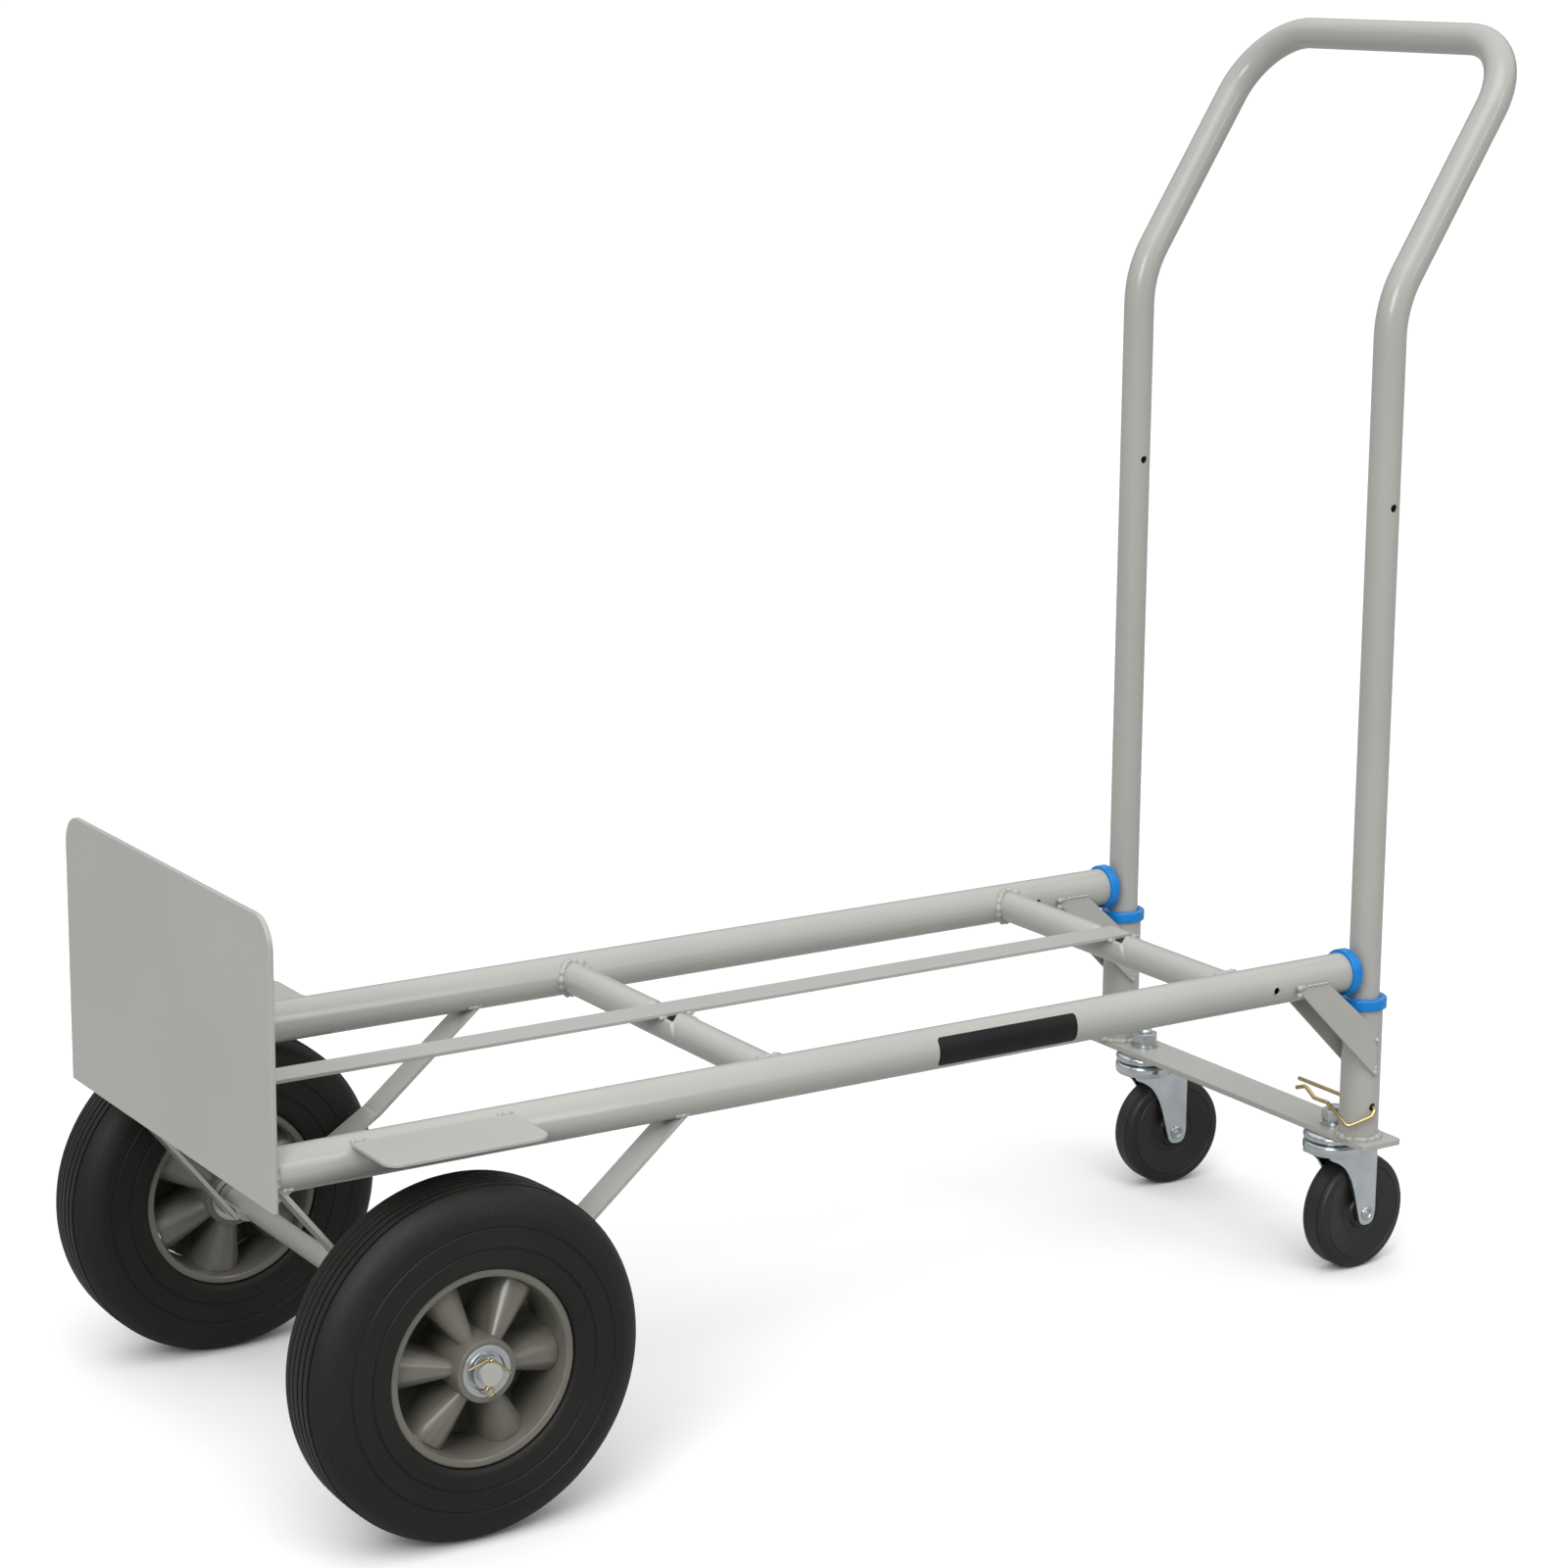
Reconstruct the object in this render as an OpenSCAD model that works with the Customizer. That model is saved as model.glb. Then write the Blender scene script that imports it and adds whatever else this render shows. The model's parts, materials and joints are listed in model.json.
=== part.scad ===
// Convertible hand truck, standing as a four-wheel platform cart.
// +X runs from the toe plate to the handle, +Y to the right-hand side, +Z up.
// The origin is on the floor, in the middle of the whole truck.

/* [Frame] */
// Distance from the wheel axle to the handle sockets
wheelbase = 843; // [600:1:1200]
// Distance between the centre lines of the two main tubes
tube_spacing = 312; // [260:1:420]
// Height of the main tubes' centre line above the floor
tube_axis_z = 266; // [262:1:340]
// Outer diameter of the main tubes and the sockets
tube_d = 31.75; // [28:0.05:40]
// Wall of the main tubes and the sockets
tube_wall = 1.6; // [1:0.1:2.4]
// Outer diameter of the cross tubes
cross_tube_d = 25.4; // [20:0.1:28]
// Distance from the axle to the middle cross tube
middle_cross_x = 284; // [230:1:400]
// Distance from the sockets back to the rear cross tube
rear_cross_back = 133; // [95:1:200]
// Width of the flat centre strap
strap_w = 27; // [16:1:40]
// Thickness of the centre strap
strap_t = 3; // [2:0.5:5]

/* [Toe plate] */
// Width of the toe plate
toe_w = 350; // [345:1:460]
// Height of the toe plate
toe_h = 203; // [150:1:300]
// Thickness of the toe plate
toe_t = 4; // [3:0.5:6]
// How far the toe plate hangs below the main tubes' centre line
toe_drop = 24; // [18:1:40]
// Radius of the toe plate's two free corners
toe_corner_r = 22; // [10:1:70]

/* [Main wheels] */
// Diameter of the tyres
tyre_d = 254; // [200:1:254]
// Width of a tyre
tyre_w = 64; // [50:1:80]
// Diameter of the rim's flanges
rim_d = 141; // [120:1:150]
// Distance between the rim's two outer faces
rim_w = 56; // [44:1:60]
// Diameter of the axle
axle_d = 16; // [12:0.5:20]
// Outer diameter of the wheel bearings
bearing_d = 37; // [32:0.5:40]
// Length of the hub's boss
boss_l = 66; // [60:1:80]
// Number of spokes on each face of the hub
spoke_count = 6; // [4:1:8]

/* [Handle] */
// Outer diameter of the handle tube
handle_d = 25.4; // [19:0.1:26]
// Wall of the handle tube
handle_wall = 1.5; // [1:0.1:2.5]
// Height of the handle's grip above the floor
grip_z = 997; // [900:1:1200]
// Height where the legs lean back
lean_z = 798; // [760:1:820]
// Angle of the upper handle from upright
lean_angle = 32.52; // [5:0.01:40]
// Radius of the bend where the legs lean back
lean_r = 90; // [60:1:120]
// Radius of the handle's two top corners
grip_corner_r = 61; // [45:1:75]
// Height of the cross holes used when the handle is in the main tubes
handle_hole_z = 640; // [500:1:740]
// Diameter of the lock pin's cross holes
pin_hole_d = 6.5; // [5:0.1:7]
// Wire diameter of the lock pin
pin_wire_d = 3.5; // [3:0.1:4.5]

/* [Casters] */
// Diameter of the caster wheels
caster_d = 96; // [75:1:97]
// Width of the caster wheels
caster_w = 25; // [18:1:32]
// Distance from the swivel axis to the caster's axle
caster_trail = 25; // [15:1:30]
// Distance between the two swivel axes
caster_spacing = 248; // [200:1:262]
// Overall height of a caster, floor to mounting face
caster_h = 121; // [119:1:140]
// Outer diameter of the swivel ball race
race_d = 50; // [44:1:52]
// Swivel angle of the left caster as it stands
swivel_left = 5; // [-30:1:30]
// Swivel angle of the right caster as it stands
swivel_right = -4; // [-30:1:30]

/* [Hidden] */

$fn = 64;
eps = 0.01;
left = -1;
right = 1;

// Clearances
running_gap = 0.05;     // axle in its bearings, per side
sliding_gap = 0.35;     // handle legs in the collars, per side
part_gap = 0.4;         // between pieces that move past each other
collar_gap = 0.075;     // collar sleeve in its tube, per side

// Overall placing: the truck is centred on the origin along X
tube_r = tube_d / 2;
handle_r = handle_d / 2;
tyre_r = tyre_d / 2;
short_sin = round(10000 * sin(lean_angle)) / 10000;
short_cos = round(10000 * cos(lean_angle)) / 10000;
short_fits = abs(pow(short_sin, 2) + pow(short_cos, 2) - 1) < 1e-9;
lean_sin = short_fits ? short_sin : sin(lean_angle);
lean_cos = short_fits ? short_cos : cos(lean_angle);
lean_tangent = lean_r * lean_sin / (1 + lean_cos);
lean_l = round(100 * (grip_z - lean_z) / lean_cos) / 100;
axle_x = -(wheelbase + lean_l * lean_sin + handle_r - tyre_r) / 2;
axle_z = tyre_r;
socket_x = axle_x + wheelbase;
toe_x = axle_x - tyre_r;
tube_start_x = toe_x + toe_t;
side_y = tube_spacing / 2;

// Main tube ends and collars
flange_t = 9;
flange_proud = 2.8;
flange_r = tube_r + flange_proud;
sleeve_l = 20;
collar_bore_r = handle_r + sliding_gap;
leg_gap = 4.8;
tube_end_x = socket_x - handle_r - leg_gap - flange_t;
tube_hole_x = tube_end_x - 78;
collar_drop = 3.9;      // from the tube collar's lowest point down to the socket collar's top
socket_top_z = tube_axis_z - flange_r - collar_drop - flange_t;

// Caster bar
bar_w = 40;
bar_t = 5;
bar_z = caster_h;
bar_top_z = bar_z + bar_t;
bar_over = 26;
bar_l = tube_spacing + 2 * bar_over;
bar_offset = 3;
stem_x = socket_x + bar_offset;
stem_y = caster_spacing / 2;
stem_r = 6;
pin_rise = 27.5;        // lock pin's holes above the caster bar
pin_z = bar_top_z + pin_rise;

// Axle and wheels
boss_half = boss_l / 2;
brace_w = 25;
brace_t = 3;
inner_washer_t = 1.3;
wheel_y = side_y + brace_w / 2 + inner_washer_t + part_gap + boss_half;
axle_end = wheel_y + boss_half + 7.5;
cotter_y = wheel_y + boss_half + 4;
cotter_r = 1.4;
cotter_gap = 0.3;
bearing_t = 11;
axle_r = axle_d / 2;
rim_flange_h = 4.5;     // how far the rim's flanges stand above the tyre's seat
tyre_bore_r = rim_d / 2 - rim_flange_h;

// Casters
caster_r = caster_d / 2;
caster_bolt_r = 4;
fork_wall = 2.5;
fork_half = caster_w / 2 + 1.5;
race_r = race_d / 2;
race_t = 7.6;
race_split_z = bar_z - race_t - part_gap / 2;
crown_z = race_split_z - part_gap / 2 - race_t;
crown_under_z = crown_z - fork_wall;
groove_r = 15;
ball_r = 2.5;
ball_count = 12;

grey = [0.70, 0.70, 0.67];
zinc = [0.78, 0.80, 0.82];
rubber = [0.11, 0.11, 0.10];
plastic = [0.39, 0.38, 0.35];
blue = [0.02, 0.50, 0.86];
yellow_zinc = [0.75, 0.65, 0.38];
label_black = [0.10, 0.10, 0.11];

// ---- helpers ----

module x_rod(x0, x1, r) { translate([x0, 0, 0]) rotate([0, 90, 0]) cylinder(h = x1 - x0, r = r); }
module y_rod(y0, y1, r) { translate([0, y1, 0]) rotate([90, 0, 0]) cylinder(h = y1 - y0, r = r); }

// Ring of rectangular section about the Y axis, between y0 and y1
module y_ring(y0, y1, r_in, r_out) {
    difference() {
        y_rod(y0, y1, r_out);
        y_rod(y0 - 1, y1 + 1, r_in);
    }
}

// Outline in X and Z, given thickness along Y about y = 0
module side_plate(t) { rotate([90, 0, 0]) translate([0, 0, -t / 2]) linear_extrude(t) children(); }

module rounded_rect(w, h, r) {
    translate([r, 0]) square([w - 2 * r, h]);
    translate([0, r]) square([w, h - 2 * r]);
    for (x = [r, w - r], y = [r, h - r]) translate([x, y]) circle(r);
}

// ---- frame ----

module toe_plate() {
    color(grey)
    translate([toe_x, -toe_w / 2, tube_axis_z - toe_drop])
    rotate([90, 0, 90]) linear_extrude(toe_t) {
        square([toe_w, toe_h - toe_corner_r]);
        translate([toe_corner_r, 0]) square([toe_w - 2 * toe_corner_r, toe_h]);
        for (y = [toe_corner_r, toe_w - toe_corner_r])
            translate([y, toe_h - toe_corner_r]) circle(toe_corner_r);
    }
}

module main_tube(side) {
    color(grey) translate([0, side * side_y, tube_axis_z]) difference() {
        x_rod(tube_start_x, tube_end_x, tube_r);
        x_rod(tube_start_x - 1, tube_end_x + 1, tube_r - tube_wall);
        translate([tube_hole_x, 0, 0]) y_rod(-tube_r - 1, tube_r + 1, pin_hole_d / 2);
    }
}
module main_tube_left() { main_tube(left); }
module main_tube_right() { main_tube(right); }

dish_top = 70;          // length of the dish pressed into a cross tube, at the top
dish_floor = 34;
saddle_clear = 1;       // how far cutting solids run past what they cut

// Cross tube, ends shaped to the main tubes, pressed down in the middle to seat the strap
module cross_tube(x) {
    r = cross_tube_d / 2;
    color(grey) translate([x, 0, tube_axis_z]) difference() {
        union() {
            difference() {
                y_rod(-side_y, side_y, r);
                y_rod(-side_y - saddle_clear, side_y + saddle_clear, r - tube_wall);
                dish(r, 0);
            }
            intersection() {
                y_rod(-side_y / 2, side_y / 2, r);
                difference() {
                    dish(r, tube_wall);
                    dish(r, 0);
                }
            }
        }
        for (s = [left, right]) translate([0, s * side_y, 0]) x_rod(-tube_d, tube_d, tube_r);
    }
}
// Space of the dish above its floor, made larger by grow
module dish(r, grow) {
    floor_z = r - strap_t - grow;
    rotate([90, 0, 90]) translate([0, 0, -tube_d]) linear_extrude(2 * tube_d) polygon([
        [-dish_floor / 2 - grow, floor_z], [dish_floor / 2 + grow, floor_z],
        [dish_top / 2 + grow, r + saddle_clear], [-dish_top / 2 - grow, r + saddle_clear]
    ]);
}
module cross_tube_middle() { cross_tube(axle_x + middle_cross_x); }
module cross_tube_rear() { cross_tube(socket_x - rear_cross_back); }

strap_end_past = 8.5;

module centre_strap() {
    x1 = socket_x - rear_cross_back + strap_end_past;
    color(grey) translate([tube_start_x, -strap_w / 2, tube_axis_z + cross_tube_d / 2 - strap_t])
        cube([x1 - tube_start_x, strap_w, strap_t]);
}

module socket_tube(side) {
    color(grey) translate([socket_x, side * side_y, 0]) difference() {
        translate([0, 0, bar_top_z]) cylinder(h = socket_top_z - bar_top_z, r = tube_r);
        translate([0, 0, bar_top_z - 1]) cylinder(h = socket_top_z - bar_top_z + 2, r = tube_r - tube_wall);
        translate([0, 0, pin_z]) y_rod(-tube_r - 1, tube_r + 1, pin_hole_d / 2);
    }
}
module socket_tube_left() { socket_tube(left); }
module socket_tube_right() { socket_tube(right); }

gusset_t = 2.5;
gusset_bite = 0.4;      // how far the tubes sink into the gusset's cheeks
gusset_reach = 86;      // along the main tube and down the socket, from where their centre lines cross
gusset_tube_run = 32;   // length of the cut end on the main tube
gusset_socket_run = 38; // length of the cut end on the socket

// Folded channel across the corner between a main tube and its socket, open below
module gusset(side) {
    inner = 2 * (tube_r - gusset_bite);
    w = gusset_reach - gusset_tube_run;
    h = gusset_reach - gusset_socket_run;
    slant = norm([w, h]);
    past = [w, -h] / slant;     // a little beyond each end of the web
    color(grey) translate([socket_x, side * side_y, tube_axis_z]) difference() {
        side_plate(inner + 2 * gusset_t) polygon([
            [-gusset_reach, 0], [-w, 0], [0, -h], [0, -gusset_reach]
        ]);
        side_plate(inner) polygon([
            [-w - gusset_t * slant / h, 0] - past, [0, -h - gusset_t * slant / w] + past,
            [1, -2 * gusset_reach], [-2 * gusset_reach, 1]
        ]);
        x_rod(-gusset_reach - 1, 1, tube_r);
        translate([0, 0, -gusset_reach - 1]) cylinder(h = gusset_reach + 2, r = tube_r);
    }
}
module gusset_left() { gusset(left); }
module gusset_right() { gusset(right); }

module caster_bar() {
    color(grey) difference() {
        translate([stem_x - bar_w / 2, -bar_l / 2, bar_z])
            linear_extrude(bar_t) rounded_rect(bar_w, bar_l, 3);
        for (s = [left, right]) translate([stem_x, s * stem_y, bar_z - 1])
            cylinder(h = bar_t + 2, r = stem_r);
    }
}

module axle() {
    color(grey) translate([axle_x, 0, axle_z]) difference() {
        y_rod(-axle_end, axle_end, axle_r);
        for (s = [left, right]) translate([0, s * cotter_y, -axle_r - 1])
            cylinder(h = axle_d + 2, r = cotter_r + cotter_gap);
    }
}

brace_top_run = 200;    // from the axle along the main tube to the brace's rear end
brace_kink = [110, -83];        // rear leg's kink, from the main tube's centre line above the axle
brace_front_run = 118;
rear_seat = [0.5, -0.85];       // where the legs meet the cradle, as shares of its outer radius
front_seat = [-0.75, -0.6];

// Bent flat bar that carries the axle under a main tube: a rear leg, a cradle and a front leg
module axle_brace(side) {
    drop = tube_axis_z - axle_z;
    seat_r = axle_r + brace_t;
    foot = [0, axle_z - tube_axis_z];
    color(grey) translate([axle_x, side * side_y, tube_axis_z]) difference() {
        side_plate(brace_w) difference() {
            union() {
                flat_bar([brace_top_run, -tube_r / 2], brace_kink);
                flat_bar(brace_kink, foot + seat_r * rear_seat);
                flat_bar([-brace_front_run, -tube_r / 2], foot + seat_r * front_seat);
                translate(foot) circle(seat_r);
            }
            translate(foot) circle(axle_r);
            translate(foot + [-seat_r - 1, 0]) square([2 * seat_r + 2, seat_r + drop]);
        }
        x_rod(-brace_front_run - 20, brace_top_run + 30, tube_r);
    }
}
// Straight strip of the brace between two points, measured along its upper face
module flat_bar(a, b) {
    d = b - a;
    translate(a) rotate(atan2(d[1], d[0])) translate([0, d[0] < 0 ? 0 : -brace_t])
        square([norm(d), brace_t]);
}
module axle_brace_left() { axle_brace(left); }
module axle_brace_right() { axle_brace(right); }

fender_front = 65;
fender_back = 60;
fender_t = 2.5;
fender_top = 13.3;      // above the main tube's centre line
fender_out = 67;        // from the main tube's centre line to the free edge
fender_corner_r = 12;

// Flat guard over a tyre, welded along the outer side of the main tube
module fender(side) {
    color(grey) translate([axle_x, side * side_y, tube_axis_z + fender_top - fender_t]) difference() {
        mirror([0, side < 0 ? 1 : 0, 0]) linear_extrude(fender_t) {
            translate([-fender_front, 0])
                square([fender_front + fender_back, fender_out - fender_corner_r]);
            translate([-fender_front + fender_corner_r, 0])
                square([fender_front + fender_back - 2 * fender_corner_r, fender_out]);
            for (x = [-fender_front + fender_corner_r, fender_back - fender_corner_r])
                translate([x, fender_out - fender_corner_r]) circle(fender_corner_r);
        }
        translate([0, 0, fender_t - fender_top]) x_rod(-fender_front - 1, fender_back + 1, tube_r);
    }
}
module fender_left() { fender(left); }
module fender_right() { fender(right); }

// Plastic collar: a flange outside the tube's end and a sleeve inside it, along +Z from the tube's end
module collar() {
    lip = 1.2;
    color(blue) rotate_extrude($fn = 96) difference() {
        union() {
            translate([0, lip]) square([flange_r, flange_t - 2 * lip]);
            square([flange_r - lip, flange_t]);
            for (z = [lip, flange_t - lip]) translate([flange_r - lip, z]) circle(lip, $fn = 24);
            translate([0, -sleeve_l]) square([tube_r - tube_wall - collar_gap, sleeve_l + eps]);
        }
        translate([-1, -sleeve_l - 1]) square([1 + collar_bore_r, sleeve_l + flange_t + 2]);
    }
}
module tube_collar(side) {
    translate([tube_end_x, side * side_y, tube_axis_z]) rotate([0, 90, 0]) collar();
}
module tube_collar_left() { tube_collar(left); }
module tube_collar_right() { tube_collar(right); }
module socket_collar(side) { translate([socket_x, side * side_y, socket_top_z]) collar(); }
module socket_collar_left() { socket_collar(left); }
module socket_collar_right() { socket_collar(right); }

plate_l = 127;
plate_t = 0.4;
plate_span = 82;        // degrees of the tube that the plate covers
plate_turn = 4;         // degrees its middle is turned up
plate_back = 416;       // from the axle to the plate's near edge

// Plain blank plate on the left main tube's outer side
module name_plate() {
    color(label_black) translate([axle_x + plate_back, left * side_y, tube_axis_z]) rotate([0, 90, 0])
        rotate([0, 0, -90 - plate_turn - plate_span / 2]) rotate_extrude(angle = plate_span, $fn = 128)
            translate([tube_r, 0]) square([plate_t, plate_l]);
}

// ---- axle fittings and main wheels ----

module axle_washers() {
    inner_y = side_y + brace_w / 2;
    color(zinc) translate([axle_x, 0, axle_z]) for (s = [left, right]) mirror([0, s < 0 ? 1 : 0, 0]) {
        y_ring(inner_y, inner_y + inner_washer_t, axle_r, axle_r + 6);
        y_ring(wheel_y + boss_half + part_gap, cotter_y - cotter_r, axle_r, axle_r + 3.6);
    }
}

cotter_eye_r = 3.4;
cotter_wire_r = 0.9;
cotter_leg_l = 16;
cotter_splay = 103;     // angle of a bent leg from straight up
cotter_drop = 2.4;      // straight part of the pin below the axle
cotter_rise = 2.6;      // and above it
cotter_leg_r = 1;

// Split pins through the axle's ends: an eye below, two legs bent apart above
module cotter_pins() {
    color(yellow_zinc) for (s = [left, right]) translate([axle_x, s * cotter_y, axle_z]) {
        translate([0, 0, -axle_r - cotter_drop])
            cylinder(h = axle_d + cotter_drop + cotter_rise, r = cotter_r);
        translate([0, 0, -axle_r - cotter_drop - cotter_eye_r]) rotate([90, 0, 0])
            rotate_extrude() translate([cotter_eye_r, 0]) circle(cotter_wire_r, $fn = 24);
        for (k = [left, right]) translate([0, 0, axle_r + cotter_rise / 2 + k * 0.3])
            rotate([0, k * cotter_splay, 0]) cylinder(h = cotter_leg_l, r = cotter_leg_r);
    }
}

barrel_wall = 3;
barrel_r = tyre_bore_r;
flange_w = 3.5;

// Tyre section: radius against width, a ribbed tread, round shoulders and flat sidewalls
module tyre(side) {
    half = tyre_w / 2;
    tread = half * 0.52;
    shoulder = 15;
    bead_r = 3;
    inner_r = rim_d / 2 + bead_r;
    groove_w = 1.4;
    groove_deep = 2;
    seat = rim_w / 2 - flange_w;
    color(rubber) translate([axle_x, side * wheel_y, axle_z]) rotate([90, 0, 0]) rotate_extrude($fn = 160)
    difference() {
        union() {
            translate([tyre_bore_r, -half + bead_r])
                square([tyre_r - shoulder - tyre_bore_r, tyre_w - 2 * bead_r]);
            translate([tyre_bore_r, -half + shoulder])
                square([tyre_r - tyre_bore_r, tyre_w - 2 * shoulder]);
            translate([inner_r, -half]) square([tyre_r - shoulder - inner_r, tyre_w]);
            for (k = [-1, 1]) translate([tyre_r - shoulder, k * (half - shoulder)]) circle(shoulder);
            for (k = [-1, 1]) translate([inner_r, k * (half - bead_r)]) circle(bead_r);
        }
        for (k = [-1.5, -0.5, 0.5, 1.5])
            translate([tyre_r - groove_deep, k * tread / 2 - groove_w / 2])
                square([groove_deep + 1, groove_w]);
        for (k = [-1, 1]) translate([tyre_bore_r - 1, k > 0 ? seat : -half - 1])
            square([rim_d / 2 - tyre_bore_r + 1, half + 1 - seat]);
    }
}
module tyre_left() { tyre(left); }
module tyre_right() { tyre(right); }

boss_r = 22.8;
spoke_root_w = 11;
spoke_tip_w = 28;
spoke_t = 16;
spoke_phase = 15;

// Moulded hub: a flanged barrel, a long boss, and a row of fluted spokes behind each face
module hub(side) {
    color(plastic) translate([axle_x, side * wheel_y, axle_z])
    mirror([0, side < 0 ? 1 : 0, 0]) difference() {
        union() {
            y_ring(-rim_w / 2, rim_w / 2, barrel_r - barrel_wall, barrel_r);
            for (y = [-rim_w / 2, rim_w / 2 - flange_w])
                y_ring(y, y + flange_w, barrel_r - barrel_wall, rim_d / 2);
            y_rod(-boss_half, boss_half, boss_r);
            spoke_row(spoke_t / 2 + 1, spoke_phase);
            spoke_row(-spoke_t / 2 - 1, spoke_phase + 180 / spoke_count);
        }
        y_rod(-boss_half - 1, boss_half + 1, axle_r + 1.5);
        for (y = [-boss_half - 1, boss_half - bearing_t]) y_rod(y, y + bearing_t + 1, bearing_d / 2);
    }
}
// One row of flat spokes, each widening from the boss to the barrel
module spoke_row(y, phase) {
    root = boss_r - 2;
    tip = barrel_r - barrel_wall + 0.5;
    for (k = [0 : spoke_count - 1]) rotate([0, phase + k * 360 / spoke_count, 0]) translate([0, y, 0])
        side_plate(spoke_t) polygon([[-spoke_root_w / 2, root], [spoke_root_w / 2, root],
                                     [spoke_tip_w / 2, tip], [-spoke_tip_w / 2, tip]]);
}
module hub_left() { hub(left); }
module hub_right() { hub(right); }

// Two bearings in a hub, each with a seal groove in its outer face
module wheel_bearings(side) {
    color(zinc) translate([axle_x, side * wheel_y, axle_z]) for (k = [-1, 1]) mirror([0, k < 0 ? 1 : 0, 0])
        difference() {
            y_ring(boss_half - bearing_t, boss_half, axle_r + running_gap, bearing_d / 2);
            y_ring(boss_half - 1.5, boss_half + 1, axle_r + 4.2, axle_r + 5.6);
        }
}
module wheel_bearings_left() { wheel_bearings(left); }
module wheel_bearings_right() { wheel_bearings(right); }

// ---- casters ----

nut_af = 19;
nut_h = 9;
flat_washer_t = 1.5;
lock_washer_t = 2.2;
lock_split = 1.6;
nut_z = bar_top_z + flat_washer_t + lock_washer_t;

module caster_stems() {
    rivet_t = 3.5;
    color(zinc) for (s = [left, right]) translate([stem_x, s * stem_y, 0]) {
        translate([0, 0, crown_under_z - part_gap - rivet_t])
            cylinder(h = nut_z + nut_h + 3 - crown_under_z + part_gap + rivet_t, r = stem_r);
        translate([0, 0, crown_under_z - part_gap - rivet_t]) cylinder(h = rivet_t, r = stem_r + 4);
    }
}

module caster_nuts() {
    color(zinc) for (s = [left, right]) translate([stem_x, s * stem_y, nut_z]) difference() {
        intersection() {
            cylinder(h = nut_h, d = nut_af / cos(30), $fn = 6);
            cylinder(h = nut_h + 2, r1 = nut_af * 0.53, r2 = nut_af * 0.53 - 2);
            translate([0, 0, -nut_h]) cylinder(h = 2 * nut_h, r1 = nut_af * 0.4, r2 = nut_af * 0.6);
        }
        translate([0, 0, -1]) cylinder(h = nut_h + 2, r = stem_r);
    }
}

// A flat washer and a split lock washer under each nut
module caster_lock_washers() {
    color(zinc) for (s = [left, right]) translate([stem_x, s * stem_y, bar_top_z]) {
        difference() {
            cylinder(h = flat_washer_t, r = 12);
            translate([0, 0, -1]) cylinder(h = flat_washer_t + 2, r = stem_r);
        }
        translate([0, 0, flat_washer_t]) difference() {
            cylinder(h = lock_washer_t, r = 10);
            translate([0, 0, -1]) cylinder(h = lock_washer_t + 2, r = stem_r);
            translate([0, -lock_split / 2, -1]) cube([20, lock_split, lock_washer_t + 2]);
        }
    }
}

// Section of a race ring with a round outer edge, from z = 0 up
module race_section(r_in) {
    round_r = race_t / 2 - 0.3;
    translate([r_in, 0]) square([race_r - round_r - r_in, race_t]);
    translate([race_r - round_r, race_t / 2]) circle(round_r);
}

module caster_upper_races() {
    color(zinc) for (s = [left, right]) translate([stem_x, s * stem_y, 0])
    rotate_extrude($fn = 96) difference() {
        translate([0, bar_z - race_t]) race_section(stem_r);
        translate([groove_r, race_split_z]) circle(ball_r + part_gap);
    }
}

// Everything that swivels with one caster is placed by this
module on_caster(side) {
    swivel = side == left ? swivel_left : swivel_right;
    translate([stem_x, side * stem_y, 0]) rotate([0, 0, swivel]) children();
}

module caster_balls(side) {
    color(zinc) on_caster(side) for (k = [0 : ball_count - 1]) rotate([0, 0, k * 360 / ball_count])
        translate([groove_r, 0, race_split_z]) sphere(ball_r, $fn = 24);
}
module caster_balls_left() { caster_balls(left); }
module caster_balls_right() { caster_balls(right); }

eye_r = 9.6;
fork_edge = 9.5;        // from the axle back to the legs' rear edge
fork_tip = 18;          // from the swivel axis to the legs' front tip
// A leg's front edge from the axle up to the crown, from the axle's centre
fork_front = [[-fork_edge, 0], [-12, 9], [-16.5, 25], [-22, 38], [-31, 46.5]];

// Pressed fork: the lower ball race, a crown and two legs down to the caster's axle
module caster_fork(side) {
    top = crown_under_z + fork_wall - caster_r;
    color(zinc) on_caster(side) difference() {
        union() {
            translate([0, 0, crown_under_z]) cylinder(h = fork_wall, r = race_r - 1);
            translate([0, 0, crown_z]) rotate_extrude($fn = 96) race_section(stem_r + part_gap);
            for (k = [-1, 1]) translate([caster_trail, k * (fork_half + fork_wall / 2), caster_r])
                side_plate(fork_wall) {
                    circle(eye_r);
                    polygon(concat(fork_front, [
                        [-fork_tip - caster_trail, top - fork_wall - 1], [-fork_tip - caster_trail, top],
                        [fork_edge, top], [fork_edge, 0]
                    ]));
                }
            translate([-fork_tip, -fork_half - fork_wall, crown_under_z])
                cube([fork_tip + caster_trail + fork_edge, 2 * (fork_half + fork_wall), fork_wall]);
        }
        translate([0, 0, crown_under_z - 1]) cylinder(h = race_t + fork_wall + 2, r = stem_r + part_gap);
        translate([0, 0, race_split_z]) rotate_extrude() translate([groove_r, 0]) circle(ball_r);
        translate([caster_trail, 0, caster_r]) y_rod(-tube_d, tube_d, caster_bolt_r);
    }
}
module caster_fork_left() { caster_fork(left); }
module caster_fork_right() { caster_fork(right); }

rivet_head_r = 6;
rivet_head_t = 2;

// Rivet across a fork, with a rolled head at each end
module caster_axle(side) {
    outer = fork_half + fork_wall;
    color(zinc) on_caster(side) translate([caster_trail, 0, caster_r]) {
        y_rod(-outer, outer, caster_bolt_r);
        for (y = [-outer - rivet_head_t, outer]) y_rod(y, y + rivet_head_t, rivet_head_r);
    }
}
module caster_axle_left() { caster_axle(left); }
module caster_axle_right() { caster_axle(right); }

bush_r = 7;

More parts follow.
